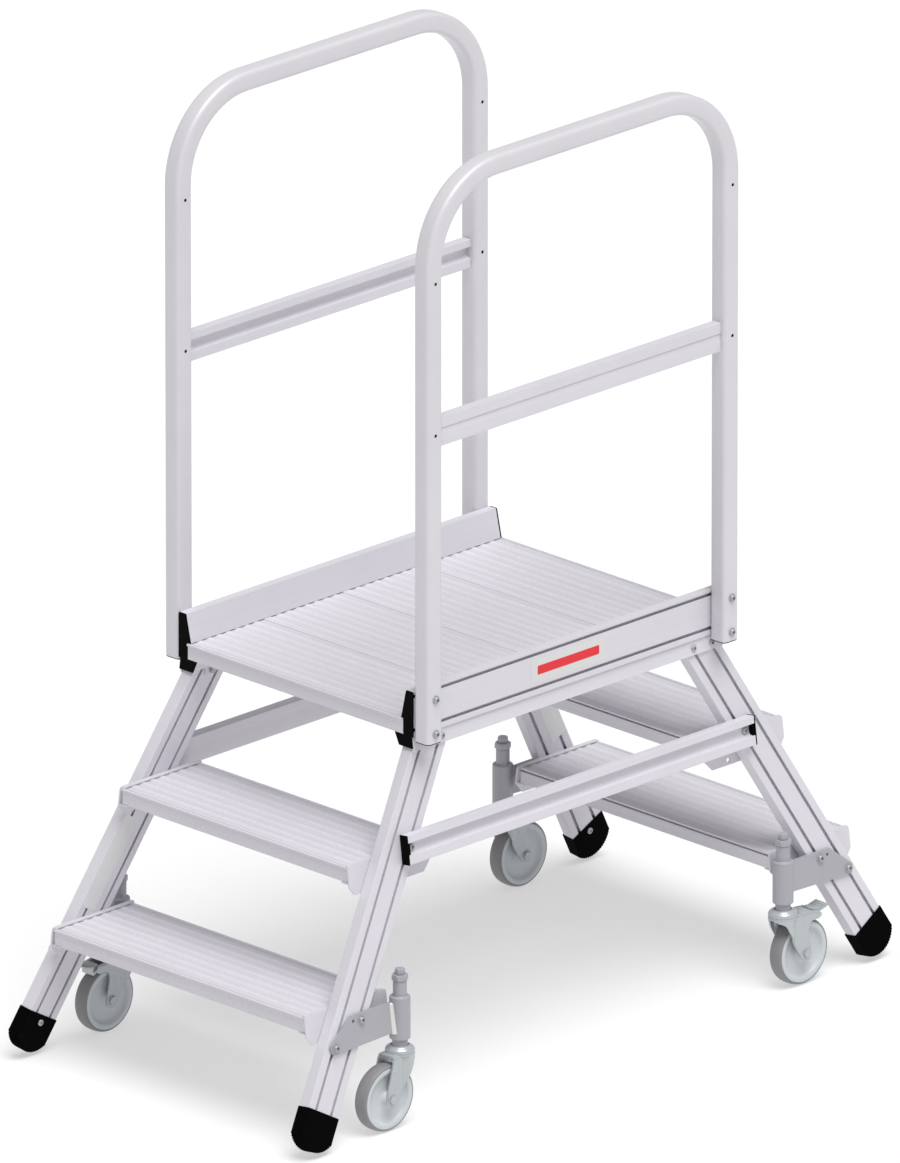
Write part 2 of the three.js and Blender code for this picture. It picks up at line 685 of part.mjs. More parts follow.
// Bracket in its side's frame: a flat plate on the leg, welded to an upright spring housing
function bracketGeometry(end) {
  const top = panelHeight(BRACKET_TOP_DROP);
  const bottom = panelHeight(BRACKET_BOTTOM_DROP);
  const endZ = panelHeight(BRACKET_END_DROP);
  const outline = [
    [CASTOR_Y, bottom],
    ...arc(BRACKET_END_Y, endZ, BRACKET_END_RADIUS, -88, 42, 5),
    [BRACKET_SHOULDER_Y, top],
    [CASTOR_Y, top],
  ];
  const plate = prism(
    'x', shapeOf(outline.map(([y, z]) => [end * y, z])), GAP, GAP + BRACKET_SHEET,
  );
  const spare = crossCylinder(
    SPARE_HOLE.radius, 20, end * SPARE_HOLE.y, panelHeight(SPARE_HOLE.drop), 12);
  plate.applyMatrix4(panelMatrix);
  spare.applyMatrix4(panelMatrix);
  const sleeve = cylinder(SLEEVE.radius, SLEEVE.bottom, SLEEVE.top);
  const cup = cylinder(CUP.radius, SLEEVE.top - 1, CUP.top);
  const bore = cylinder(SLEEVE.bore, SLEEVE.bottom - 1, SLEEVE.top - CUP.shoulder);
  const neck = cylinder(CUP.bore, SLEEVE.bottom, CUP.top + 1);
  for (const round of [sleeve, cup, bore, neck]) {
    round.translate(CASTOR_X, end * CASTOR_Y, 0);
  }
  return cut(join(plate, sleeve, cup), bore, neck, spare);
}

function stemGeometry() {
  return join(
    cylinder(COLLAR.radius, COLLAR.bottom, COLLAR.top, 20),
    cylinder(STEM_RADIUS, COLLAR.top - 1, CUP.top + 2, 16),
    cylinder(NUT.radius, CUP.top + GAP, NUT.top, 6),
    cylinder(STEM_END.radius, NUT.top - 1, STEM_END.top, 6),
  );
}

function springGeometry() {
  const bottom = COLLAR.top + GAP;
  const top = SLEEVE.top - CUP.shoulder - GAP;
  return turned([
    [SPRING.inner, bottom], [SPRING.outer, bottom], [SPRING.outer, top], [SPRING.inner, top],
  ], 16);
}

// ---------------------------------------------------------------- castors
// Each is drawn about its own swivel axis with the wheel trailing towards +y.

// One cheek of the fork, in (y, z). Ears carry the brake pedal behind the wheel
function cheekOutline(withEars) {
  const top = CROWN.top;
  const tail = withEars
    ? [[40, 114], [50, 123], [71.5, 123.3], [75.5, 128], [73, 136.3], [BRAKED_TAIL, top]]
    : [[38, 112], [FORK_TAIL, top]];
  return [
    [-17, top - 1], [-18, 122], [-8, 112], [4, 92], [11, 72],
    ...arc(TRAIL, WHEEL_RADIUS, 12, 225, 375, 6),
    [47, 80], ...tail,
  ];
}

function forkGeometry(withEars) {
  const cheek = shapeOf(cheekOutline(withEars));
  const outer = FORK_INNER + FORK_SHEET;
  const tail = withEars ? BRAKED_TAIL : FORK_TAIL;
  const crownPlate = shapeOf([
    [outer, tail], [-outer, tail], [-outer, 0],
    ...arc(0, 0, CROWN.radius, 219, 321, 8),
    [outer, 0],
  ]);
  const pieces = [
    prism('x', cheek, -outer, -FORK_INNER),
    prism('x', cheek, FORK_INNER, outer),
    prism('z', crownPlate, CROWN.top - FORK_SHEET, CROWN.top),
    turned([
      [0, CROWN.bottom], [CROWN.radius - 3, CROWN.bottom], [CROWN.radius, CROWN.bottom + 5],
      [CROWN.radius, CROWN.top], [CROWN.radius - 2, CROWN.top + 4],
      [COLLAR.radius + 2, CROWN.dome], [0, CROWN.dome],
    ]),
    crossCylinder(AXLE_RADIUS, outer, TRAIL, WHEEL_RADIUS, 16),
    crossCylinder(AXLE_HEAD.radius, outer + AXLE_HEAD.height, TRAIL, WHEEL_RADIUS, 6),
  ];
  if (withEars) {
    pieces.push(crossCylinder(PIVOT_PIN, outer + 1, PEDAL_PIVOT.y, PEDAL_PIVOT.z, 10));
  }
  const wheelSpace = crossCylinder(WHEEL_RADIUS + 2.5, FORK_INNER, TRAIL, WHEEL_RADIUS);
  const axle = crossCylinder(AXLE_RADIUS, FORK_INNER + 1, TRAIL, WHEEL_RADIUS, 16);
  return join(cut(join(...pieces), wheelSpace), axle);
}

// The shoe is drawn where it meets the tyre, then swung back to the released position
function pedalGeometry() {
  const { y, z } = PEDAL_PIVOT;
  const pressed = arc(TRAIL, WHEEL_RADIUS, WHEEL_RADIUS + SHOE.gap, SHOE.to, SHOE.from, 2);
  const shoe = pressed.map(([py, pz]) => {
    const swung = new THREE.Vector2(py, pz).rotateAround(new THREE.Vector2(y, z), BRAKE_TRAVEL);
    return swung.toArray();
  });
  const outline = [
    ...shoe, [shoe[2][0] + 1.5, shoe[2][1] + 3],
    [82, 132.2], [102, 138], [102, 140], [81, 134.6],
    [y + 3, z + 4], [y - 3.5, z + 4],
  ];
  const body = prism('x', shapeOf(outline), -PEDAL_HALF, PEDAL_HALF);
  return cut(body, crossCylinder(PIVOT_PIN + 0.4, PEDAL_HALF + 1, y, z, 12));
}

function wheelSolid(profile, steps) {
  const geometry = turned(profile, steps);
  geometry.rotateY(Math.PI / 2);
  geometry.translate(0, TRAIL, WHEEL_RADIUS);
  return geometry;
}

// A profile given from the middle outwards, completed by its mirror image
function bothFaces(half) {
  return [...half.map(([r, w]) => [r, -w]).reverse(), ...half];
}

function hubGeometry() {
  const rim = TYRE_INNER - GAP;
  const face = [
    [rim, 14], [rim - 5, 14], [rim - 9, HUB_WEB], [HUB_BOSS, HUB_WEB],
    [HUB_BOSS, HUB_HALF], [HUB_BORE, HUB_HALF],
  ];
  return wheelSolid([...face, ...face.map(([r, w]) => [r, -w]).reverse()], ROUND_STEPS);
}

function tyreGeometry() {
  const tread = [[WHEEL_RADIUS, 4.5], [WHEEL_RADIUS - 1, 10], [WHEEL_RADIUS - 3.5, 14]];
  return wheelSolid(bothFaces([...tread, [TYRE_INNER, TYRE_HALF]]), ROUND_STEPS);
}

// ---------------------------------------------------------------- assembly

addDeck();
addTreads();

for (const side of SIDES) {
  const { half, panel } = sideGroups(side);
  place(half, `side_beam_${side.name}`, beamGeometry(), ALUMINIUM);
  place(half, `handrail_${side.name}`, hoopGeometry(), ALUMINIUM);
  place(half, `knee_rail_${side.name}`, kneeRailGeometry(), ALUMINIUM);
  place(panel, `brace_${side.name}`, braceGeometry(), ALUMINIUM);

  for (const end of ENDS) {
    const corner = `${endName(side, end)}_${side.name}`;
    const tilt = end * LEG_SLOPE;
    for (const [name, geometry, look] of [
      [`leg_${corner}`, legGeometry(tilt), ALUMINIUM],
      [`foot_${corner}`, footGeometry(), BLACK_RUBBER],
    ]) {
      place(panel, name, geometry, look, end * LEG_Y).rotation.x = tilt;
    }
    for (const level of LEVELS) {
      place(panel, `step_clasp_${corner}_${level.name}`, claspGeometry(level, end), ALUMINIUM);
    }
    place(half, `castor_bracket_${corner}`, bracketGeometry(end), ZINC);

    const castor = new THREE.Group();
    castor.position.set(CASTOR_X, end * CASTOR_Y, 0);
    castor.rotation.z = end > 0 ? 0 : Math.PI;
    half.add(castor);
    const braked = corner === 'front_left' || corner === 'rear_right';
    place(castor, `castor_stem_${corner}`, stemGeometry(), ZINC);
    place(castor, `castor_spring_${corner}`, springGeometry(), SPRING_STEEL);
    place(castor, `castor_fork_${corner}`, forkGeometry(braked), BRIGHT_ZINC);
    place(castor, `castor_hub_${corner}`, hubGeometry(), PALE_HUB);
    place(castor, `castor_tyre_${corner}`, tyreGeometry(), GREY_TYRE);
    if (braked) {
      place(castor, `brake_pedal_${corner}`, pedalGeometry(), BRIGHT_ZINC);
    }
  }
}

export default model;
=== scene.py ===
"""The finished look of the double-sided platform steps.

The CAD nodes whose shape is right keep it and get rounded edges and a material. The handrails,
castors, springs and castor brackets are replaced by finer pieces, and the fixings, end caps,
plugs, clips and labels that the CAD leaves out are added. Shapes are drawn in millimetres and
scaled to metres when a piece is made.
"""

import json
import math

import bmesh
import bpy
from mathutils import Matrix, Vector
from mathutils.geometry import tessellate_polygon

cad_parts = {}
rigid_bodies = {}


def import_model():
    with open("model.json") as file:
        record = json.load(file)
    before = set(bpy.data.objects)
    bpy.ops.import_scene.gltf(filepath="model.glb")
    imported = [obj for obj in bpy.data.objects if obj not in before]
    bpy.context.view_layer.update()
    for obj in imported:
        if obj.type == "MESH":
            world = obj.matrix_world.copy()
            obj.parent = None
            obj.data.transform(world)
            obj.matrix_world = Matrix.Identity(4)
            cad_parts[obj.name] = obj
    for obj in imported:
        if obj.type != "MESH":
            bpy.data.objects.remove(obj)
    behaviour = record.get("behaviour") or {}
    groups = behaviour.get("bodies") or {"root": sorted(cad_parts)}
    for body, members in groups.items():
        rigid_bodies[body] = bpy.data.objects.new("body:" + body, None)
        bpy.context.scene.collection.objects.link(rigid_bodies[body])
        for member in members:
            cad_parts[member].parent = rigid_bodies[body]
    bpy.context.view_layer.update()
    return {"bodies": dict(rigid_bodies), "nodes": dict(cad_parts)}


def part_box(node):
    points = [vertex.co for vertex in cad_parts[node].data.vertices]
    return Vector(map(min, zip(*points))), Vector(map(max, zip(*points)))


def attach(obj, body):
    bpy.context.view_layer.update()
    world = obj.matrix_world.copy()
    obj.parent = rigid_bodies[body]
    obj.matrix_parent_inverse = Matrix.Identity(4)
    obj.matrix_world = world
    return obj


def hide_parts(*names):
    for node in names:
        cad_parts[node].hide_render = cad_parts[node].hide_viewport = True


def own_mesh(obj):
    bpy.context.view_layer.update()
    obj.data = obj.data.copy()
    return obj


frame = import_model()

# ---------------------------------------------------------------- sizes, as in the CAD

GAP = 0.3
DECK_TOP = 726
RISE = 240
DECK_WIDTH = 545
SPLAY = math.radians(7.5)
LEG_SLOPE = math.radians(30)
PANEL_X = 283.2
LEG_Y = 313.8
LEG_THICK = 25
SLOT_OFFSET = 20
BEAM_OUTER_X = 296.5
BEAM_END = 392
FLANGE_THICK = 4.5
HOOP_TUBE = 38
HOOP_CORNER = 9
HOOP_WALL = 2.2
HOOP_POST_Y = 375
HOOP_TOP = 1033
HOOP_BOTTOM = -37
HOOP_BEND = 160
RAIL_HEIGHT = 54
RAIL_THICK = 18
RAIL_RECESS_FLOOR = 7
RAIL_RECESS_MIDDLE = 25.25
BRACE_TOP_DROP = 201
BRACE_END = 439
KNEE_LEVEL = 544
CASTOR_X = 356
CASTOR_Y = 486.7
TRAIL = 40
WHEEL_RADIUS = 62.5
PEDAL_PIN = (70.5, 133)

ALONG_X, ALONG_Y = 0, 1
MM = 0.001

# Edges sharper than these angles, in degrees, are rounded, or left as a crease in the shading
ROUNDED_ABOVE = 32
CREASE = 38

RAIL_SCREW_LEVELS = (KNEE_LEVEL, 830)
SCREW_HOLE = {"radius": 3.2, "disc_radius": 3.1, "disc_thick": 1.4, "disc_inset": 0.3}
PLANK_JOINTS = {"front": -199.325, "middle": 0.0, "rear": 199.325}
JOINT_FILL = {"half": 0.14, "top": 0.25, "bottom": 9}
NOSE_LINE = {"back": 4.6, "width": 1.1, "deep": 0.3, "proud": 0.05}
EDGE_STRIP = {"clear": 0.02, "deep": 5, "proud": 1.2, "end": 0.5}
# Depths in metres below each step's top over which the ribs' painted light turns to painted shade
RIB_SHADE = {"from": 0.0002, "to": 0.0015, "start": 0.0001}
LEG_CLIP = {"drop": 51, "front": 17, "back": 9, "below": 14, "above": 16, "bolt": 4}
FLOOR_RADIUS = 60000
FLOOR_GLOW = 0.49


def side_place(side):
    """The frame of one side: the right-hand side turned half round makes the left."""
    return Matrix.Rotation(0 if side == "right" else math.pi, 4, "Z")


def panel_place(side):
    """The frame of a side's leaning panel: x out from the legs' outer face, z up the panel."""
    lean = Matrix.Rotation(-SPLAY, 4, "Y")
    return side_place(side) @ Matrix.Translation((PANEL_X, 0, DECK_TOP)) @ lean


def panel_height(drop, offset=0):
    """Height up a panel of a point at a drop below the deck and an offset from the panel."""
    return -(drop + offset * math.sin(SPLAY)) / math.cos(SPLAY)


def leg_y(drop):
    """Middle of a leg at a drop below the deck, in its panel."""
    return LEG_Y + drop / math.cos(SPLAY) * math.tan(LEG_SLOPE)


def castor_place(side, end):
    """A castor's own frame: z up the swivel axis from the floor, wheel trailing towards +y."""
    turn = Matrix.Rotation(0 if end > 0 else math.pi, 4, "Z")
    return side_place(side) @ Matrix.Translation((CASTOR_X, end * CASTOR_Y, 0)) @ turn


CORNERS = []
for _side, _sign in (("right", 1), ("left", -1)):
    for _end in (1, -1):
        _where = "rear" if _sign * _end > 0 else "front"
        CORNERS.append((f"{_where}_{_side}", _side, _end))

# ---------------------------------------------------------------- shapes


def arc(cx, cy, radius, start, stop, steps):
    """Points of an arc, from one angle to another in degrees."""
    angles = [math.radians(start + (stop - start) * i / steps) for i in range(steps + 1)]
    return [(cx + radius * math.cos(a), cy + radius * math.sin(a)) for a in angles]


def rounded_box(x0, y0, x1, y1, radius, steps=5):
    """Outline of a rectangle with round corners."""
    return [
        *arc(x1 - radius, y1 - radius, radius, 0, 90, steps),
        *arc(x0 + radius, y1 - radius, radius, 90, 180, steps),
        *arc(x0 + radius, y0 + radius, radius, 180, 270, steps),
        *arc(x1 - radius, y0 + radius, radius, 270, 360, steps),
    ]


def level_ring(radius, height, steps, sides=0):
    """A ring of points about z. With sides it is a polygon of that corner radius."""
    points = []
    for i in range(steps):
        angle = math.tau * i / steps
        reach = radius
        if sides:
            half = math.pi / sides
            reach *= math.cos(half) / math.cos(angle % (2 * half) - half)
        points.append((reach * math.cos(angle), reach * math.sin(angle), height))
    return points


def skinned(rings, looped=False):
    """Joins rings of equal length with quads. Looped joins last to first, else ends are capped."""
    bm = bmesh.new()
    loops = [[bm.verts.new(point) for point in ring] for ring in rings]
    pairs = list(zip(loops, loops[1:]))
    if looped:
        pairs.append((loops[-1], loops[0]))
    else:
        bm.faces.new(loops[0][::-1])
        bm.faces.new(loops[-1])
    for a, b in pairs:
        for i in range(len(a)):
            j = (i + 1) % len(a)
            bm.faces.new((a[i], a[j], b[j], b[i]))
    bmesh.ops.recalc_face_normals(bm, faces=bm.faces)
    return bm


def turned(profile, steps=48, looped=False):
    """A turned shape about z from (radius, height) or (radius, height, sides) points."""
    rings = []
    for entry in profile:
        sides = entry[2] if len(entry) > 2 else 0
        rings.append(level_ring(max(entry[0], 0.01), entry[1], steps, sides))
    return skinned(rings, looped)


def prism(outline, low, high, axis="x", holes=()):
    """A straight prism. Along x it is drawn in (y, z), along y in (x, z), along z in (x, y)."""
    def spot(point, depth):
        a, b = point
        return {"x": (depth, a, b), "y": (a, depth, b), "z": (a, b, depth)}[axis]

    loops = [outline, *holes]
    flat = [point for loop in loops for point in loop]
    triangles = tessellate_polygon([[Vector((*p, 0)) for p in loop] for loop in loops])
    bm = bmesh.new()
    layers = [[bm.verts.new(spot(p, depth)) for p in flat] for depth in (low, high)]
    for layer in layers:
        for triangle in triangles:
            bm.faces.new([layer[i] for i in triangle])
    start = 0
    for loop in loops:
        for i in range(len(loop)):
            a, b = start + i, start + (i + 1) % len(loop)
            bm.faces.new((layers[0][a], layers[0][b], layers[1][b], layers[1][a]))
        start += len(loop)
    bmesh.ops.recalc_face_normals(bm, faces=bm.faces)
    bmesh.ops.dissolve_limit(
        bm, angle_limit=math.radians(0.5), verts=bm.verts, edges=bm.edges
    )
    return bm


def bent_sheet(outline, cuts, bend, thickness):
    """A flat outline in (s, t), cut across at the given s, bent by bend(s) -> (point, normal)
    with t carried along, and given thickness against the normal."""
    bm = bmesh.new()
    bm.faces.new([bm.verts.new((s, 0, t)) for s, t in outline])
    for s in cuts:
        everything = bm.verts[:] + bm.edges[:] + bm.faces[:]
        bmesh.ops.bisect_plane(
            bm, geom=everything, plane_co=(s, 0, 0), plane_no=(1, 0, 0), dist=1e-4
        )
    front = bm.faces[:]
    made = bmesh.ops.duplicate(bm, geom=front)
    back = [g for g in made["geom"] if isinstance(g, bmesh.types.BMFace)]
    twin = {v: made["vert_map"][v] for f in front for v in f.verts}
    rim = [e for f in front for e in f.edges if len(e.link_faces) == 1]
    for edge in rim:
        a, b = edge.verts
        bm.faces.new((a, b, twin[b], twin[a]))
    for face in back:
        face.normal_flip()
    for vert, other in twin.items():
        point, normal = bend(vert.co.x, vert.co.z)
        vert.co = point
        other.co = point - normal * thickness
    bmesh.ops.recalc_face_normals(bm, faces=bm.faces)
    return bm


def joined(*parts):
    """One mesh from several, which are used up."""
    whole = bmesh.new()
    scratch = bpy.data.meshes.new("scratch")
    for part in parts:
        part.to_mesh(scratch)
        part.free()
        whole.from_mesh(scratch)
    bpy.data.meshes.remove(scratch)
    return whole


def placed(bm, matrix):
    bm.transform(matrix)
    return bm


def across(bm, x=0, y=0, z=0):
    """A shape turned about z, laid along x instead and moved."""
    return placed(bm, Matrix.Translation((x, y, z)) @ Matrix.Rotation(math.pi / 2, 4, "Y"))


# ---------------------------------------------------------------- finishes


def finish(name, colour, roughness, metallic=0.0, speckle=0.03, grain=1400.0, streak=0.0,
           axis=ALONG_Y, mottle=0.02, bump=0.08, specular=0.5, ribs=0.0):
    """A material whose colour, roughness and surface vary with a fine grain, a soft mottling
    and, for extrusions, the faint lines of the die along one axis. With ribs, painted light
    makes the deck's and treads' rib crests paler and painted shade darkens the valleys between
    them."""
    look = bpy.data.materials.new(name)
    look.use_nodes = True
    nodes, links = look.node_tree.nodes, look.node_tree.links
    shader = nodes["Principled BSDF"]
    shader.inputs["Metallic"].default_value = metallic
    shader.inputs["Specular IOR Level"].default_value = specular
    where = nodes.new("ShaderNodeTexCoord").outputs["Object"]

    def wave(scale, detail=2.0, stretch=(1, 1, 1)):
        mapping = nodes.new("ShaderNodeMapping")
        mapping.inputs["Scale"].default_value = stretch
        texture = nodes.new("ShaderNodeTexNoise")
        texture.inputs["Scale"].default_value = scale
        texture.inputs["Detail"].default_value = detail
        links.new(where, mapping.inputs["Vector"])
        links.new(mapping.outputs["Vector"], texture.inputs["Vector"])
        return texture.outputs["Fac"]

    def scaled(value, amount, middle):
        step = nodes.new("ShaderNodeMapRange")
        step.inputs["From Min"].default_value = 0.25
        step.inputs["From Max"].default_value = 0.75
        step.inputs["To Min"].default_value = middle - amount
        step.inputs["To Max"].default_value = middle + amount
        links.new(value, step.inputs["Value"])
        return step.outputs["Result"]

    def math_node(operation, a, b):
        step = nodes.new("ShaderNodeMath")
        step.operation = operation
        for socket, value in zip(step.inputs, (a, b)):
            if isinstance(value, float):
                socket.default_value = value
            else:
                links.new(value, socket)
        return step.outputs["Value"]

    fine = wave(grain)
    soft = wave(7.0, 3.0)
    tone = math_node("MULTIPLY", scaled(fine, speckle, 1.0), scaled(soft, mottle, 1.0))
    relief = fine
    # Painted light and shade on the ribs: paler on the crests, darker in the valleys and on every
    # face deeper below a step's top
    if ribs:
        level = nodes.new("ShaderNodeSeparateXYZ")
        links.new(where, level.inputs["Vector"])
        drop = math_node("SUBTRACT", MM * DECK_TOP + RIB_SHADE["start"], level.outputs["Z"])
        valley_shade = nodes.new("ShaderNodeMapRange")
        valley_shade.inputs["From Min"].default_value = RIB_SHADE["from"]
        valley_shade.inputs["From Max"].default_value = RIB_SHADE["to"]
        valley_shade.inputs["To Min"].default_value = 1 + ribs
        valley_shade.inputs["To Max"].default_value = 1 - ribs
        links.new(math_node("FLOORED_MODULO", drop, MM * RISE), valley_shade.inputs["Value"])
        tone = math_node("MULTIPLY", tone, valley_shade.outputs["Result"])
    if streak:
        stretch = [220.0, 220.0, 220.0]
        stretch[axis] = 1.2
        lines = wave(1.0, 3.0, stretch)
        tone = math_node("MULTIPLY", tone, scaled(lines, streak, 1.0))
        relief = math_node("ADD", fine, lines)
    tint = nodes.new("ShaderNodeVectorMath")
    tint.operation = "SCALE"
    tint.inputs[0].default_value = colour
    links.new(tone, tint.inputs["Scale"])
    links.new(tint.outputs["Vector"], shader.inputs["Base Color"])
    links.new(scaled(fine, 0.06, roughness), shader.inputs["Roughness"])
    raised = nodes.new("ShaderNodeBump")
    raised.inputs["Strength"].default_value = bump
    raised.inputs["Distance"].default_value = 0.0004
    links.new(relief, raised.inputs["Height"])
    links.new(raised.outputs["Normal"], shader.inputs["Normal"])
    return look


ALUMINIUM_RGB = (0.675, 0.655, 0.705)
# The deck and treads carry painted shade in their rib valleys and painted light on the crests
DECK_METAL = finish("extruded_aluminium_across", ALUMINIUM_RGB, 0.5, 0.12, 0.09, 450.0,
                    streak=0.035, axis=ALONG_X, ribs=0.045)
# Dark grey for the nose lines and deck edge strips: painted shade of grooves and gaps
PAINTED_GROOVE_SHADE = finish("shaded_groove", (0.22, 0.21, 0.23), 0.6, 0.1, 0.05, 900.0)
BEAM_METAL = finish("extruded_aluminium_along", ALUMINIUM_RGB, 0.5, 0.12, 0.035, streak=0.02)
LEG_METAL = finish("leg_aluminium", ALUMINIUM_RGB, 0.5, 0.12, 0.035)
TUBE_METAL = finish("tube_aluminium", (0.665, 0.65, 0.685), 0.45, 0.12, 0.05)
SHEET_METAL = finish("sheet_aluminium", (0.66, 0.64, 0.69), 0.52, 0.12, 0.03)
BRACKET_METAL = finish("silver_coating", (0.385, 0.385, 0.42), 0.5, 0.12, 0.04, 900.0, bump=0.14)
WELD_METAL = finish("weld_bead", (0.72, 0.71, 0.67), 0.4, 0.15, 0.05, 900.0, bump=0.2)
FORK_METAL = finish("zinc_plate", (0.455, 0.487, 0.503), 0.3, 0.3, 0.03, 700.0, mottle=0.05)
BOLT_METAL = finish("bolt_steel", (0.40, 0.40, 0.42), 0.32, 0.4, 0.04, 900.0, mottle=0.05)
SPRING_METAL = finish("spring_steel", (0.33, 0.34, 0.36), 0.32, 0.9, 0.04, 1200.0)
HUB_PLASTIC = finish("hub_polyamide", (0.55, 0.585, 0.605), 0.42, 0.0, 0.015, 600.0, mottle=0.03)
TYRE_RUBBER = finish("grey_tyre", (0.24, 0.235, 0.245), 0.55, 0.0, 0.05, 900.0, mottle=0.05)
FOOT_RUBBER = finish("black_rubber", (0.0012, 0.0012, 0.0014), 0.8, 0.0, 0.2, 800.0, bump=0.25,
                     specular=0.03)
# Black plastic for the caps and plugs, also used for the painted shade of the discs inside the
# rail's holes
BLACK_PLASTIC_AND_HOLE_SHADE = finish("black_plastic_and_hole_shade", (0.0012, 0.0012, 0.0014), 0.6, 0.0, 0.2, 1200.0, bump=0.2,
                     specular=0.04)
LABEL_FILM = finish("label_film", (0.67, 0.67, 0.665), 0.4, 0.0, 0.02, 900.0, bump=0.03)
STICKER_FILM = finish("sticker_film", (0.70, 0.705, 0.695), 0.45, 0.0, 0.03, 1100.0, bump=0.05)
LABEL_INK = finish("label_band", (0.75, 0.006, 0.02), 0.4, 0.0, 0.03, 400.0, bump=0.03)

# ---------------------------------------------------------------- pieces


def rounding(obj, width):
    """Small round edges with flat faces left looking flat."""
    bevel = obj.modifiers.new("rounding", "BEVEL")
    bevel.width = width * MM
    bevel.segments = 2
    bevel.limit_method = "ANGLE"
    bevel.angle_limit = math.radians(ROUNDED_ABOVE)
    bevel.use_clamp_overlap = True
    obj.modifiers.new("face_weighted_shading", "WEIGHTED_NORMAL")


def piece(name, bm, body, look, place=None, edge=0.0, crease=CREASE,
          stands_for=()):
    """Turns a shape in millimetres into a named piece that rides on a body."""
    bm.transform(Matrix.Scale(MM, 4) @ (place or Matrix()))
    mesh = bpy.data.meshes.new(name)
    bm.to_mesh(mesh)
    bm.free()
    mesh.materials.append(look)
    mesh.polygons.foreach_set("use_smooth", [True] * len(mesh.polygons))
    obj = bpy.data.objects.new(name, mesh)
    bpy.context.collection.objects.link(obj)
    if edge:
        rounding(obj, edge)
    else:
        mesh.set_sharp_from_angle(angle=math.radians(crease))
    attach(obj, body)
    if stands_for:
        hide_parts(*stands_for)
    return obj


def smoothing_group():
    """Node group that welds a CAD mesh's faces together and marks them smooth."""
    group = bpy.data.node_groups.new("weld_and_smooth", "GeometryNodeTree")
    for direction in ("INPUT", "OUTPUT"):
        group.interface.new_socket(
            "Geometry", in_out=direction, socket_type="NodeSocketGeometry"
        )
    chain = [
        group.nodes.new(kind)
        for kind in ("NodeGroupInput", "GeometryNodeMergeByDistance",
                     "GeometryNodeSetShadeSmooth", "NodeGroupOutput")
    ]
    chain[1].inputs["Distance"].default_value = 1e-5
    for a, b in zip(chain, chain[1:]):
        group.links.new(a.outputs[0], b.inputs[0])
    return group


SMOOTHING = smoothing_group()


def dress(node, look, edge=0.5):
    """Gives a CAD node a material and round edges by modifiers, its mesh left as it is."""
    obj = frame["nodes"][node]
    for slot in obj.material_slots:
        slot.material = look
    obj.modifiers.new("weld_and_smooth", "NODES").node_group = SMOOTHING
    flat = obj.modifiers.new("merge_flat_faces", "DECIMATE")
    flat.decimate_type = "DISSOLVE"
    flat.angle_limit = math.radians(0.4)
    rounding(obj, edge)


def pan_head(radius, height):
    """Low round bolt head with a hexagon socket."""
    key = radius * 0.52
    return turned([
        (radius, 0), (radius, height * 0.35), (radius * 0.93, height * 0.72),
        (radius * 0.75, height * 0.95), (radius * 0.62, height), (key, height, 6),
        (key, height * 0.35, 6),
    ], 24)


def hex_head(radius, height, washer=0.0):
    """Hexagon bolt head with chamfered corners, on a washer if one is given."""
    rings = [(washer, 0), (washer, 1.3), (washer - 0.4, 1.6)] if washer else []
    base = 1.6 if washer else 0
    rings += [
        (radius * 0.86, base), (radius, base + 0.4, 6), (radius, base + height * 0.82, 6),
        (radius * 0.84, base + height), (radius * 0.5, base + height * 0.96),
    ]
    return turned(rings, 36)


def aimed(bm, point, direction):
    """A shape about z moved to a point and turned to face a direction."""
    turn = Vector(direction).to_track_quat("Z", "Y").to_matrix().to_4x4()
    return placed(bm, Matrix.Translation(point) @ turn)


# ---------------------------------------------------------------- carried-over CAD nodes

for node in frame["nodes"]:
    if node.startswith(("deck_plank", "tread")):
        dress(node, DECK_METAL, 0.3)
    elif node.startswith(("side_beam", "knee_rail", "brace")):
        dress(node, BEAM_METAL, 0.6)
    elif node.startswith("leg"):
        dress(node, LEG_METAL, 0.8)
    elif node.startswith("step_clasp"):
        dress(node, SHEET_METAL, 0.8)
    elif node.startswith("foot"):
        dress(node, FOOT_RUBBER, 0.7)

# ---------------------------------------------------------------- handrails


def hoop_stations():
    """Frames along the hoop's centre line, post foot to post foot."""
    top = DECK_TOP + HOOP_TOP - HOOP_TUBE / 2
    bend_y = HOOP_POST_Y - HOOP_BEND
    bend_z = top - HOOP_BEND
    spots = [(-HOOP_POST_Y, DECK_TOP + HOOP_BOTTOM, 0.0)]
    for middle, start in ((-bend_y, 0.0), (bend_y, math.pi / 2)):
        for i in range(21):
            heading = start + math.pi / 2 * i / 20
            spots.append((
                middle - HOOP_BEND * math.cos(heading),
                bend_z + HOOP_BEND * math.sin(heading),
                heading,
            ))
    spots.append((HOOP_POST_Y, DECK_TOP + HOOP_BOTTOM, math.pi))
    return spots


def hoop_tube():
    """Square tube with round corners, open at both feet."""
    def rings(size, corner):
        half = size / 2
        section = rounded_box(-half, -half, half, half, corner, 6)
        made = []
        for y, z, heading in hoop_stations():
            sine, cosine = math.sin(heading), math.cos(heading)
            made.append([(a, y + b * cosine, z - b * sine) for a, b in section])
        return made

    outer = rings(HOOP_TUBE, HOOP_CORNER)
    inner = rings(HOOP_TUBE - 2 * HOOP_WALL, HOOP_CORNER - HOOP_WALL)
    return skinned([*outer, *inner[::-1]], looped=True)


def drilled(obj, drills):
    """Cuts drills, a mesh in metres, out of an object's mesh."""
    mesh = bpy.data.meshes.new("drills")
    drills.to_mesh(mesh)
    drills.free()
    cutter = bpy.data.objects.new("drills", mesh)
    bpy.context.collection.objects.link(cutter)
    cut = obj.modifiers.new("drill", "BOOLEAN")
    cut.object = cutter
    cut.solver = "EXACT"
    bpy.context.view_layer.update()
    seen = obj.evaluated_get(bpy.context.evaluated_depsgraph_get())
    obj.data = bpy.data.meshes.new_from_object(seen)
    obj.modifiers.clear()
    bpy.data.objects.remove(cutter)
    return obj


HOOP_X = BEAM_OUTER_X + GAP + HOOP_TUBE / 2

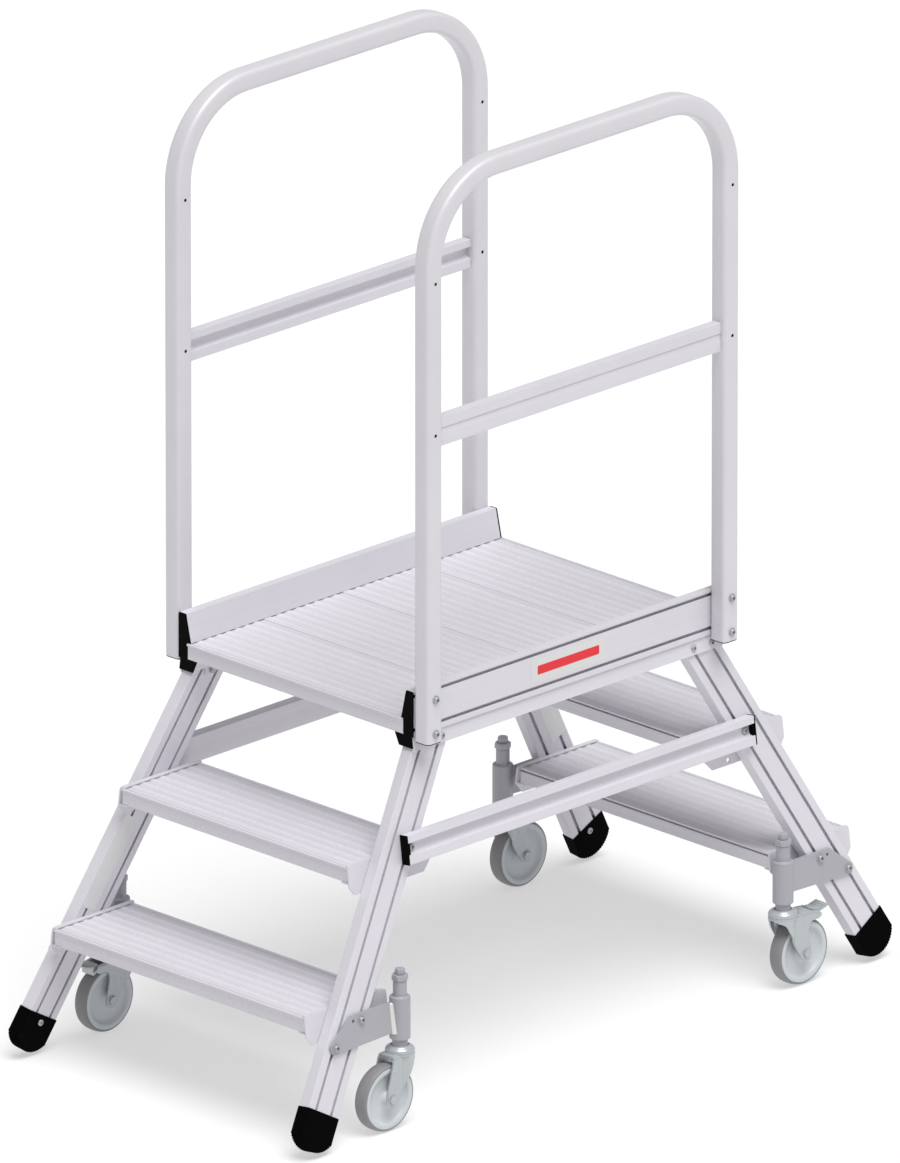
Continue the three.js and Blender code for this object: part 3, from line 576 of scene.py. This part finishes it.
for side in ("right", "left"):
    place = side_place(side)
    rail = piece(
        f"hoop_{side}", placed(hoop_tube(), Matrix.Translation((HOOP_X, 0, 0))), "frame",
        TUBE_METAL, place, stands_for=[f"handrail_{side}"],
    )
    holes = [
        across(turned([(SCREW_HOLE["radius"], -25), (SCREW_HOLE["radius"], 25)], 24),
               HOOP_X, y, DECK_TOP + level)
        for y in (-HOOP_POST_Y, HOOP_POST_Y) for level in RAIL_SCREW_LEVELS
    ]
    drilled(rail, placed(joined(*holes), Matrix.Scale(MM, 4) @ place))
    rail.data.set_sharp_from_angle(angle=math.radians(CREASE))
    for end in (1, -1):
        corner = next(c for c, s, e in CORNERS if (s, e) == (side, end))
        y = end * HOOP_POST_Y
        half = HOOP_TUBE / 2
        # Dark discs just inside the holes: painted shade for the dark inside of the tube, so that
        # the holes read as dark from both sides
        disc, thick = SCREW_HOLE["disc_radius"], SCREW_HOLE["disc_thick"]
        inset = half - SCREW_HOLE["disc_inset"]
        discs = [
            across(turned([(disc, 0), (disc, thick)], 24), HOOP_X + x, y, DECK_TOP + level)
            for x in (-inset, inset - thick) for level in RAIL_SCREW_LEVELS
        ]
        piece(f"rail_hole_shade_discs_{corner}", joined(*discs), "frame", BLACK_PLASTIC_AND_HOLE_SHADE, place)
        plug = prism(
            rounded_box(HOOP_X - half + 0.6, y - half + 0.6, HOOP_X + half - 0.6,
                        y + half - 0.6, 8),
            DECK_TOP + HOOP_BOTTOM - 2.2, DECK_TOP + HOOP_BOTTOM - 0.1, "z",
        )
        piece(f"post_plug_{corner}", plug, "frame", BLACK_PLASTIC_AND_HOLE_SHADE, place, edge=0.6)
        for level, name in ((45, "upper"), (-20, "lower")):
            head = aimed(
                joined(turned([(8, 0), (8, 1.2), (7.6, 1.5)], 32),
                       placed(pan_head(6.4, 4.2), Matrix.Translation((0, 0, 1.4)))),
                (BEAM_OUTER_X + GAP + HOOP_TUBE, y, DECK_TOP + level), (1, 0, 0),
            )
            piece(f"post_bolt_{corner}_{name}", head, "frame", BOLT_METAL, place)

# ---------------------------------------------------------------- plank joints and nose lines



def upright_strip(low_a, high_a, low_z, high_z, start, end, axis):
    """A straight strip of rectangular section along x or y."""
    return prism([(low_a, low_z), (high_a, low_z), (high_a, high_z), (low_a, high_z)],
                 start, end, axis)


# These strips aren't separate pieces of the real steps: they fill the gaps that touching
# meshes keep and draw the joint lines. The dark nose lines are painted shade for the groove behind
# each nose
for spot, y in PLANK_JOINTS.items():
    fill = upright_strip(
        y - JOINT_FILL["half"], y + JOINT_FILL["half"], DECK_TOP - JOINT_FILL["bottom"],
        DECK_TOP - JOINT_FILL["top"], 1 - DECK_WIDTH / 2, DECK_WIDTH / 2 - 1, "x",
    )
    piece(f"plank_joint_{spot}", fill, "frame", BEAM_METAL)

# Dark lines behind each nose: painted shade standing for the shadowed groove
for node, end in (
    ("deck_plank_1", -1), ("deck_plank_4", 1), ("tread_front_upper", -1),
    ("tread_front_lower", -1), ("tread_rear_upper", 1), ("tread_rear_lower", 1),
):
    corners = [v.co * 1000 for v in frame["nodes"][node].data.vertices]
    nose = max(end * v.y for v in corners) - NOSE_LINE["back"]
    top, half = max(v.z for v in corners), max(v.x for v in corners) - 1
    near, far = sorted((end * nose, end * (nose - NOSE_LINE["width"])))
    line = upright_strip(near, far, top - NOSE_LINE["deep"], top + NOSE_LINE["proud"],
                         -half, half, "x")
    piece(f"nose_line_{node}", line, "frame", PAINTED_GROOVE_SHADE)

# ---------------------------------------------------------------- deck edge strips

# Dark strips in the gap between the deck and each beam: painted shade for the shadowed gap
for side in ("right", "left"):
    edge_x, stop = DECK_WIDTH / 2, BEAM_END - EDGE_STRIP["end"]
    strip = upright_strip(
        edge_x + EDGE_STRIP["clear"], edge_x + GAP - EDGE_STRIP["clear"],
        DECK_TOP - EDGE_STRIP["deep"], DECK_TOP + EDGE_STRIP["proud"], -stop, stop, "y",
    )
    piece(f"deck_edge_strip_{side}", strip, "frame", PAINTED_GROOVE_SHADE, side_place(side))

# ---------------------------------------------------------------- beam and brace ends


def beam_cap_outline():
    """The beam's outline above and below the deck recess, seen along the beam."""
    outer = BEAM_OUTER_X
    lean = math.tan(SPLAY)
    leg_outer = PANEL_X + GAP + FLANGE_THICK
    leg_inner = PANEL_X - LEG_THICK / math.cos(SPLAY)
    return [
        (outer + 0.4, 53), (outer - 1.4, 54), (outer - 16.5, 54), (outer - 17.6, 52.6),
        (outer - 29.5, -0.5), (outer - 29.5, -30.6), (outer - 45.6, -30.6),
        (leg_inner + 53 * lean - 3.5, -53.5), (leg_outer + 53.5 * lean + 0.5, -53.5),
        (leg_outer + 31 * lean + 0.5, -31.4), (outer + 0.4, -31.4),
    ]


for corner, side, end in CORNERS:
    place = side_place(side)
    low, high = sorted((end * (BEAM_END + 0.1), end * (BEAM_END + 3)))
    outline = [(x, z + DECK_TOP) for x, z in beam_cap_outline()]
    cap = [prism(outline, low, high, "y")]
    for level in (46, -18):
        spots = sorted((end * (BEAM_END - 14), end * (BEAM_END + 1)))
        tongue = [
            (BEAM_OUTER_X + 0.2, DECK_TOP + level - 2.9),
            (BEAM_OUTER_X + 0.2, DECK_TOP + level + 2.9),
            (BEAM_OUTER_X - 6, DECK_TOP + level + 2.9),
            (BEAM_OUTER_X - 6, DECK_TOP + level - 2.9),
        ]
        cap.append(prism(tongue, *spots, "y"))
    piece(f"beam_end_cap_{corner}", joined(*cap), "frame", BLACK_PLASTIC_AND_HOLE_SHADE, place, edge=0.5)

    place = panel_place(side)
    top = panel_height(BRACE_TOP_DROP)
    low, high = sorted((end * (BRACE_END + 0.05), end * (BRACE_END + 2.5)))
    shape = rounded_box(GAP - 0.1, top - RAIL_HEIGHT - 0.4, GAP + RAIL_THICK + 0.4, top + 0.4, 1)
    cap = [prism(shape, low, high, "y")]
    spots = sorted((end * (BRACE_END - 5), end * (BRACE_END + 1)))
    cap.append(prism(
        rounded_box(GAP + RAIL_RECESS_FLOOR + 0.2, top - 36.2, GAP + RAIL_THICK - 1,
                    top - 14.3, 1),
        *spots, "y",
    ))
    piece(f"brace_end_cap_{corner}", joined(*cap), "frame", BLACK_PLASTIC_AND_HOLE_SHADE, place, edge=0.4)
    head = aimed(
        pan_head(6.8, 4.4),
        (GAP + RAIL_RECESS_FLOOR, end * 423, top - RAIL_RECESS_MIDDLE), (1, 0, 0),
    )
    piece(f"brace_bolt_{corner}", head, "frame", BOLT_METAL, place)

    # Beam flange to leg
    for offset, name in ((-23.1, "inner"), (23.1, "outer")):
        spot = (GAP + FLANGE_THICK, end * (leg_y(48) + offset), panel_height(48))
        head = aimed(pan_head(6.0, 3.6), spot, (1, 0, 0))
        piece(f"flange_bolt_{corner}_{name}", head, "frame", BOLT_METAL, place)

    # Pale sheet clip under the beam's lip at the top of each leg, with its bolt
    y = end * leg_y(LEG_CLIP["drop"])
    base = panel_height(LEG_CLIP["drop"])
    front, back = sorted((end * LEG_CLIP["front"], -end * LEG_CLIP["back"]))
    clip = prism(
        rounded_box(y + front, base - LEG_CLIP["below"], y + back, base + LEG_CLIP["above"], 3),
        -LEG_THICK - 2.4, -LEG_THICK - 0.2, "x",
    )
    piece(f"leg_clip_{corner}", clip, "frame", SHEET_METAL, place, edge=0.5)
    head = aimed(hex_head(7.2, 4.6, 8.2), (-LEG_THICK - 2.4, y, base - LEG_CLIP["bolt"]),
                 (-1, 0, 0))
    piece(f"leg_clip_bolt_{corner}", head, "frame", BOLT_METAL, place)

# ---------------------------------------------------------------- step brackets' bolts

for corner, side, end in CORNERS:
    place = panel_place(side)
    for level, drop in (("upper", RISE), ("lower", 2 * RISE)):
        x = -LEG_THICK - GAP - 3
        z = panel_height(drop + 43, x)
        for offset, name in ((-SLOT_OFFSET, "back"), (SLOT_OFFSET, "front")):
            head = aimed(hex_head(7.0, 4.4, 8.0), (x, end * (leg_y(drop + 43) + offset), z),
                         (-1, 0, 0))
            piece(f"step_bolt_{corner}_{level}_{name}", head, "frame", BOLT_METAL,
                  place)

# ---------------------------------------------------------------- castor brackets

SLEEVE = {"radius": 19, "bore": 14.6, "bottom": 165, "top": 245}
CUP = {"radius": 12.5, "bore": 8.7, "top": 274.5}
BRACKET_SHEET = 5


def bracket_plate(end):
    """The flat plate bolted to the leg, in its panel's frame."""
    top, bottom = panel_height(490), panel_height(551)
    outline = [
        (CASTOR_Y + 16, bottom + 5),
        *arc(651, panel_height(538.5), 12, -88, 42, 12),
        *arc(606, top - 7, 7, 50, 90, 5),
        (CASTOR_Y + 16, top),
    ]
    hole = arc(602, panel_height(501), 3.2, 0, 345, 23)
    return prism(
        [(end * y, z) for y, z in outline], GAP, GAP + BRACKET_SHEET, "x",
        [[(end * y, z) for y, z in hole]],
    )


def housing():
    """The spring's sleeve and the guide above it, with a stepped bore."""
    return turned([
        (SLEEVE["bore"], SLEEVE["bottom"] + 0.6), (SLEEVE["bore"] + 0.6, SLEEVE["bottom"]),
        (SLEEVE["radius"] - 0.8, SLEEVE["bottom"]), (SLEEVE["radius"], SLEEVE["bottom"] + 0.8),
        (SLEEVE["radius"], SLEEVE["top"] - 2.2), (SLEEVE["radius"] - 0.7, SLEEVE["top"] - 0.7),
        (SLEEVE["radius"] - 2.2, SLEEVE["top"]), (CUP["radius"] + 1.2, SLEEVE["top"]),
        (CUP["radius"], SLEEVE["top"] + 1.2), (CUP["radius"], CUP["top"] - 0.8),
        (CUP["radius"] - 0.8, CUP["top"]), (CUP["bore"], CUP["top"]),
        (CUP["bore"], SLEEVE["top"] - 3), (SLEEVE["bore"], SLEEVE["top"] - 3),
    ], 64, looped=True)


def fillet_weld(end, face):
    """Weld along the joint of a bracket's plate and its sleeve, on one face of the plate."""
    rings = []
    steps = 40
    outward = 1 if face > GAP + 1 else -1
    for i in range(steps + 1):
        drop = 491 + 58 * i / steps
        x = PANEL_X + drop * math.tan(SPLAY) + face / math.cos(SPLAY)
        leg = 4.6 * (1 + 0.04 * math.sin(i * 2.3)) * (0.6 if i in (0, steps) else 1)
        reach = math.sqrt(max(SLEEVE["radius"] ** 2 - (x - CASTOR_X) ** 2, 1))
        turn = math.atan2(x - CASTOR_X, reach)
        far = turn + outward * leg * 1.1 / SLEEVE["radius"]
        section = [
            (x - outward * 0.4, CASTOR_Y + reach - 1),
            (x - outward * 0.3, CASTOR_Y + reach + leg),
            (x + outward * 0.3, CASTOR_Y + reach + leg * 0.96),
            (x + outward * leg * 0.52, CASTOR_Y + reach + leg * 0.42),
            (CASTOR_X + (SLEEVE["radius"] + 0.3) * math.sin(far),
             CASTOR_Y + (SLEEVE["radius"] + 0.3) * math.cos(far)),
            (CASTOR_X + (SLEEVE["radius"] - 0.5) * math.sin(far),
             CASTOR_Y + (SLEEVE["radius"] - 0.5) * math.cos(far)),
        ]
        rings.append([(a, end * b, DECK_TOP - drop) for a, b in section])
    return skinned(rings)


for corner, side, end in CORNERS:
    upright = Matrix.Translation((CASTOR_X, end * CASTOR_Y, 0))
    lean = Matrix.Translation((PANEL_X, 0, DECK_TOP)) @ Matrix.Rotation(-SPLAY, 4, "Y")
    parts = [placed(bracket_plate(end), lean), placed(housing(), upright)]
    welds = joined(fillet_weld(end, GAP + BRACKET_SHEET), fillet_weld(end, GAP))
    piece(f"bracket_weld_{corner}", welds, "frame", WELD_METAL,
          side_place(side), crease=25)
    piece(f"castor_housing_{corner}", joined(*parts), "frame", BRACKET_METAL,
          side_place(side), edge=0.5, stands_for=[f"castor_bracket_{corner}"])
    for y, drop, name in ((583, 503.5, "upper"), (651, 538.5, "lower")):
        spot = (GAP + BRACKET_SHEET, end * y, panel_height(drop))
        head = aimed(
            joined(turned([(8.6, 0), (8.6, 1.2), (8.2, 1.5)], 32),
                   placed(pan_head(6.6, 4.6), Matrix.Translation((0, 0, 1.4)))),
            spot, (1, 0, 0),
        )
        piece(f"bracket_bolt_{corner}_{name}", head, "frame", BOLT_METAL,
              panel_place(side))

# ---------------------------------------------------------------- castors


def stem():
    """Collar, guided stem, lock nut and bolt end, all turning with the castor."""
    return joined(
        turned([
            (0, 150.7), (15.4, 150.7), (15.4, 151.6), (14.1, 152.8), (13.9, 161.5), (13, 164.4),
            (8, 164.7), (8, 276), (0, 276),
        ], 40),
        turned([
            (8, 274.9), (13.4, 274.9), (15.4, 276, 6), (15.4, 284.4, 6), (13.6, 285.8),
            (9.2, 286), (0, 286),
        ], 36),
        turned([(8.2, 285.9), (9.8, 287, 6), (9.8, 295, 6), (8.6, 296.7), (0, 297)], 36),
    )


def spring():
    """Compression spring with closed ends."""
    low, high, wire = 165.2, 241.5, 1.8
    turns, per_turn = 10, 16
    rings = []
    for i in range(turns * per_turn + 1):
        share = i / (turns * per_turn)
        eased = share + 0.035 * math.sin(math.tau * share)
        angle = math.tau * turns * share
        height = low + wire + (high - low - 2 * wire) * eased
        out = Vector((math.cos(angle), math.sin(angle), 0))
        rings.append([
            out * (11.5 + wire * math.cos(a)) + Vector((0, 0, height + wire * math.sin(a)))
            for a in (math.tau * k / 8 for k in range(8))
        ])
    return skinned(rings)


def skirt_path():
    """Plan of the fork's front, from the middle round to the flat cheek: points by y."""
    points = arc(0, 0, 27, -90, -12, 16)
    start, stop = Vector(points[-1]), Vector((21, 14))
    ahead, level = Vector((0.21, 0.98)) * 11, Vector((0, 11))
    for i in range(1, 9):
        t = i / 8
        points.append(tuple(
            (1 - t) ** 3 * start + 3 * t * (1 - t) ** 2 * (start + ahead)
            + 3 * t * t * (1 - t) * (stop - level) + t ** 3 * stop
        ))
    return points


SKIRT = skirt_path()
SKIRT_RUN = [0.0]
for a, b in zip(SKIRT, SKIRT[1:]):
    SKIRT_RUN.append(SKIRT_RUN[-1] + math.dist(a, b))


def skirt_at(run):
    """Point and outward normal on the skirt's plan at a signed run from the front."""
    reach = min(abs(run), SKIRT_RUN[-1] - 1e-6)
    i = max(k for k in range(len(SKIRT) - 1) if SKIRT_RUN[k] <= reach)
    t = (reach - SKIRT_RUN[i]) / (SKIRT_RUN[i + 1] - SKIRT_RUN[i])
    a, b = Vector(SKIRT[i]), Vector(SKIRT[i + 1])
    point = a.lerp(b, t)
    along = (b - a).normalized()
    flip = -1 if run < 0 else 1
    return (
        Vector((flip * point.x, point.y, 0)),
        Vector((flip * along.y, -along.x, 0)),
    )


def run_at(y):
    """Run along the skirt's plan at which it reaches a y."""
    for i in range(len(SKIRT) - 1):
        if SKIRT[i][1] <= y <= SKIRT[i + 1][1]:
            t = (y - SKIRT[i][1]) / (SKIRT[i + 1][1] - SKIRT[i][1])
            return SKIRT_RUN[i] + t * (SKIRT_RUN[i + 1] - SKIRT_RUN[i])
    return SKIRT_RUN[-1]


SHOULDER = 8.0                      # outside radius where the fork's top bends into its cheeks
TOP_Z = 141.7
TOP_HALF = 21 - SHOULDER
CHEEK_START = TOP_HALF + SHOULDER * math.pi / 2


def saddle_at(run, y):
    """Point and outward normal over the fork's top and down its cheeks."""
    flip = -1 if run < 0 else 1
    reach = abs(run)
    if reach <= TOP_HALF:
        x, z, normal = reach, TOP_Z, Vector((0, 0, 1))
    elif reach <= CHEEK_START:
        angle = (reach - TOP_HALF) / SHOULDER
        normal = Vector((flip * math.sin(angle), 0, math.cos(angle)))
        x = TOP_HALF + SHOULDER * math.sin(angle)
        z = TOP_Z - SHOULDER * (1 - math.cos(angle))
    else:
        x, z, normal = 21, TOP_Z - SHOULDER - (reach - CHEEK_START), Vector((flip, 0, 0))
    if y > 46:
        z -= (y - 46) * 0.2 * min(max((z - 124) / 17.7, 0), 1)
    return Vector((flip * x, y, z)), normal


def cheek_run(z):
    return CHEEK_START + TOP_Z - SHOULDER - z


def fork(braked):
    """Pressed fork with its bearing cap, axle and, on braked castors, the pedal's ears."""
    lobe = arc(TRAIL, WHEEL_RADIUS - 2, 13.2, 222, 372, 14)
    cheek = [(12, 79), (15, 74), (18, 69.5), (22, 63.5), (26, 57.6), *lobe, (50.6, 76), (48, 87)]
    if braked:
        cheek += [
            (45.6, 98), (44.8, 107), (46.4, 112.5), (49.6, 117.5), (54, 120.6), (62, 121),
            (70, 120.8), (75, 122.4), (78.4, 125.6), (79.4, 129.4), (78.6, 132),
        ]
        edge = [(cheek_run(135), 76.5), (CHEEK_START - 5, 74), (CHEEK_START - 8, 71),
                (CHEEK_START - 8, 57), (CHEEK_START - 10, 54), (0, 54)]
    else:
        cheek += [(44.6, 98), (40.8, 112), (36, 131)]
        edge = [(CHEEK_START, 34), (TOP_HALF, 34), (0, 34)]
    half = [(cheek_run(z), y) for y, z in cheek] + edge
    half.append((0, 12))
    mirror = [(-s, y) for s, y in reversed(half[:-2])]
    outline = [*half[:-1], *mirror]
    bends = [CHEEK_START - SHOULDER * math.pi / 2 * k / 6 for k in range(7)]
    # The saddle is cut open along the middle of its front, under the bearing cap
    saddle = bent_sheet(
        outline, [*bends, *[-s for s in bends]], saddle_at, 3,
    )
    lower = [
        (-27, 135.5), (-25.6, 134), (-23.4, 132), (-18.6, 130), (-15.2, 127.4), (-12.4, 124),
        (-8.4, 115), (-3.5, 107.5), (0.4, 101), (4.5, 93), (8, 86), (12, 79),
    ]
    side = [(run_at(y), z) for y, z in lower]
    strip = [*side, (run_at(12), 139), *[(-run_at(12), 139)], *[(-s, z) for s, z in side[:0:-1]]]
    cuts = [s for s in SKIRT_RUN[1:] if s < run_at(12) - 0.2]

    def around(run, z):
        point, normal = skirt_at(run)
        return Vector((point.x, point.y, z)), normal

    skirt = bent_sheet(strip, [*cuts, *[-s for s in cuts]], around, 3)
    crown = turned([
        (0, 137), (26.3, 137), (27, 137.6), (27, 139.9), (26, 140.4), (26, 141.2),
        (27, 141.7), (27, 144), (26.5, 145.8), (25.4, 147.4), (23.6, 149), (22, 149.9),
        (21.2, 149.8), (20.4, 150.6), (18.6, 151.8), (16.8, 152.7), (15.9, 152.4),
        (15.9, 150.3), (0, 150.3),
    ], 72)
    axle = across(turned([(6, -21.2), (6, 21.2)], 24), 0, TRAIL, WHEEL_RADIUS)
    head = aimed(hex_head(8.4, 3.2, 9.6), (21, TRAIL, WHEEL_RADIUS), (1, 0, 0))
    nut = aimed(hex_head(8.4, 3.0, 9.6), (-21, TRAIL, WHEEL_RADIUS), (-1, 0, 0))
    parts = [saddle, skirt, crown, axle, head, nut]
    if braked:
        y, z = PEDAL_PIN
        parts.append(across(
            turned([(1.6, -22), (2.6, -21.4), (2.6, 21.4), (1.6, 22)], 20), 0, y, z
        ))
        for k in range(5):
            angle = math.radians(60 + 15 * k)
            tooth = prism(
                [(29.5, -1.6), (33, -1.1), (33, 1.1), (29.5, 1.6)], 141, 144.2, "z"
            )
            parts.append(placed(tooth, Matrix.Rotation(angle, 4, "Z")))
    return joined(*parts)


def pedal():
    """Pressed pedal: tread plate, hollow body round the pin, and the shoe under it."""
    y, z = PEDAL_PIN
    pressed = arc(TRAIL, WHEEL_RADIUS, WHEEL_RADIUS + 1.2, 62, 56, 4)
    back = math.radians(14)
    shoe = []
    for py, pz in pressed:
        dy, dz = py - y, pz - z
        shoe.append((
            y + dy * math.cos(back) - dz * math.sin(back),
            z + dy * math.sin(back) + dz * math.cos(back),
        ))
    body = [
        *shoe, (shoe[-1][0] + 1.4, shoe[-1][1] + 2.6), (81.4, 131.6), (81.6, 134.4),
        (76, 136.6), (y + 3, z + 4.2), (y - 1.5, z + 4.6), (y - 4, z + 3), (y - 4.8, z),
        (y - 4.2, z - 3), (y - 1.5, z - 6.5),
    ]
    plate = [(79, 132.9), (83, 132.6), (101.6, 138), (102, 139), (101.2, 139.9), (80.5, 134.9)]
    pin_hole = [(y + 3 * math.cos(a), z + 3 * math.sin(a))
                for a in (math.tau * k / 16 for k in range(16))]
    return joined(
        prism(body, -14, 14, "x", [pin_hole]),
        prism(plate, -17.1, 17.1, "x"),
        prism([(86, 136), (88, 136.6), (88, 137.4), (86, 136.9)], -13, 13, "x"),
        prism([(92, 137.6), (94, 138.2), (94, 139), (92, 138.5)], -13, 13, "x"),
    )


def both_faces(half):
    """A wheel profile given as (radius, half width) on one face, with its mirror image."""
    return [*half, *[(r, -w) for r, w in reversed(half)]]


def wheel_part(half):
    return across(turned(both_faces(half), 96, looped=True), 0, TRAIL, WHEEL_RADIUS)


def hub():
    return wheel_part([
        (6.5, 17.5), (12.6, 17.5), (14, 16.4), (15, 10.5), (17.5, 8.4), (22, 7.6), (36, 7.2),
        (41, 7.6), (44, 9), (46, 11.2), (47.4, 13.2), (49, 14.4), (51, 14.9), (55.4, 14.9),
        (57, 14.3),
    ])


def tyre():
    return wheel_part([
        (57.4, 14.4), (58.4, 14.5), (59.6, 13.8), (60.9, 12.2), (61.8, 9.4), (62.3, 5.5),
        (62.5, 1.5),
    ])


for corner, side, end in CORNERS:
    place = castor_place(side, end)
    braked = f"pedal_{corner}" in frame["bodies"]
    piece(f"stem_assembly_{corner}", stem(), f"stem_{corner}", BRACKET_METAL,
          place, crease=30, stands_for=[f"castor_stem_{corner}"])
    coil = piece(f"coil_spring_{corner}", spring(), "frame", SPRING_METAL,
                 place, stands_for=[f"castor_spring_{corner}"])
    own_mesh(coil)
    piece(f"fork_{corner}_pressed", fork(braked), f"fork_{corner}", FORK_METAL,
          place, edge=0.45, stands_for=[f"castor_fork_{corner}"])
    piece(f"wheel_hub_{corner}", hub(), f"wheel_{corner}", HUB_PLASTIC, place,
          crease=60, stands_for=[f"castor_hub_{corner}"])
    piece(f"wheel_tyre_{corner}", tyre(), f"wheel_{corner}", TYRE_RUBBER, place,
          crease=60, stands_for=[f"castor_tyre_{corner}"])
    if braked:
        piece(f"pedal_pressing_{corner}", pedal(), f"pedal_{corner}", FORK_METAL,
              place, edge=0.3, stands_for=[f"brake_pedal_{corner}"])

# ---------------------------------------------------------------- feet and labels


def leg_place(side, end):
    """A leg's own frame: z up the leg, x out, y across it."""
    tilt = Matrix.Rotation(end * LEG_SLOPE, 4, "X")
    return panel_place(side) @ Matrix.Translation((0, end * LEG_Y, 0)) @ tilt


for corner, side, end in CORNERS:
    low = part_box(f"foot_{corner}")[0].z * 1000
    length = (DECK_TOP - low - 60) / math.cos(SPLAY) / math.cos(LEG_SLOPE)
    head = aimed(pan_head(6.2, 3), (-LEG_THICK - GAP - 1.1, 0, -length), (-1, 0, 0))
    piece(f"foot_screw_{corner}", head, "frame", BOLT_METAL, leg_place(side, end))

label = prism(rounded_box(-93, -8, 93, 37, 3), BEAM_OUTER_X + 0.05, BEAM_OUTER_X + 0.3, "x")
piece("beam_label", placed(label, Matrix.Translation((0, -2, DECK_TOP))), "frame", LABEL_FILM,
      edge=0.1)
band = prism(rounded_box(-78, 6, 78, 23, 2), BEAM_OUTER_X + 0.31, BEAM_OUTER_X + 0.45, "x")
piece("beam_label_band", placed(band, Matrix.Translation((0, -2, DECK_TOP))), "frame",
      LABEL_INK, edge=0.05)

for corner, outline in (
    ("front_left", [(-0.5, -363), (36.6, -363), (36.6, -547), (-0.5, -547)]),
    ("rear_left", [(0.5, -372), (-36.6, -372), (-36.6, -526), (0.5, -526)]),
):
    side, end = next((s, e) for c, s, e in CORNERS if c == corner)
    film = prism(outline, -LEG_THICK - 0.25, -LEG_THICK - 0.03, "x")
    piece(f"leg_sticker_{corner}", film, "frame", STICKER_FILM, leg_place(side, end),
          edge=0.08)

# ---------------------------------------------------------------- floor, light and camera


def aim(obj, point, target):
    obj.location = point
    obj.rotation_euler = (Vector(target) - Vector(point)).to_track_quat("-Z", "Y").to_euler()


floor_mesh = bpy.data.meshes.new("floor")
floor_bm = turned([(FLOOR_RADIUS, -0.2), (FLOOR_RADIUS, 0)], 96)
floor_bm.transform(Matrix.Scale(MM, 4))
floor_bm.to_mesh(floor_mesh)
floor_bm.free()
floor = bpy.data.objects.new("floor", floor_mesh)
bpy.context.collection.objects.link(floor)
# The floor glows a little, like a light table, which keeps the shadows under the steps pale
floor_look = finish("pale_floor", (0.45, 0.45, 0.45), 0.9, 0.0, 0.004, 60.0, mottle=0.004,
                    bump=0.0)
glow = floor_look.node_tree.nodes["Principled BSDF"].inputs
glow["Emission Color"].default_value = (1, 1, 1, 1)
glow["Emission Strength"].default_value = FLOOR_GLOW
floor.data.materials.append(floor_look)
floor.location.z = -0.001

bpy.context.scene.view_settings.view_transform = "Standard"
world = bpy.data.worlds.new("studio")
bpy.context.scene.world = world
world.use_nodes = True
sky, sky_links = world.node_tree.nodes, world.node_tree.links
backdrop = sky.new("ShaderNodeBackground")
backdrop.inputs["Color"].default_value = (1, 1, 1, 1)
soft_sky = sky["Background"]
soft_sky.inputs["Color"].default_value = (1, 1, 1, 1)
soft_sky.inputs["Strength"].default_value = 0.38
seen = sky.new("ShaderNodeLightPath")
either = sky.new("ShaderNodeMixShader")
sky_links.new(seen.outputs["Is Camera Ray"], either.inputs["Fac"])
sky_links.new(soft_sky.outputs["Background"], either.inputs[1])
sky_links.new(backdrop.outputs["Background"], either.inputs[2])
sky_links.new(either.outputs["Shader"], sky["World Output"].inputs["Surface"])

lamp = bpy.data.lights.new("softbox", "SUN")
lamp.energy = 2.85
lamp.angle = math.radians(40)
light = bpy.data.objects.new("softbox", lamp)
bpy.context.collection.objects.link(light)
aim(light, (3.4, -1.0, 9.2), (0, 0, 0))

AZIMUTH, ELEVATION = math.radians(45.0), math.radians(20.03)
TARGET = Vector((-0.0022, -0.0022, 0.8125))
DISTANCE = 70.0
FRAME_HEIGHT = 2.083
camera_data = bpy.data.cameras.new("camera")
camera_data.sensor_width = 36
camera_data.lens = 36 * DISTANCE / FRAME_HEIGHT
camera_data.clip_start = 1
camera_data.clip_end = 400
camera = bpy.data.objects.new("camera", camera_data)
bpy.context.collection.objects.link(camera)
away = Vector((
    math.sin(AZIMUTH) * math.cos(ELEVATION),
    -math.cos(AZIMUTH) * math.cos(ELEVATION),
    math.sin(ELEVATION),
))
aim(camera, TARGET + DISTANCE * away, TARGET)
bpy.context.scene.camera = camera
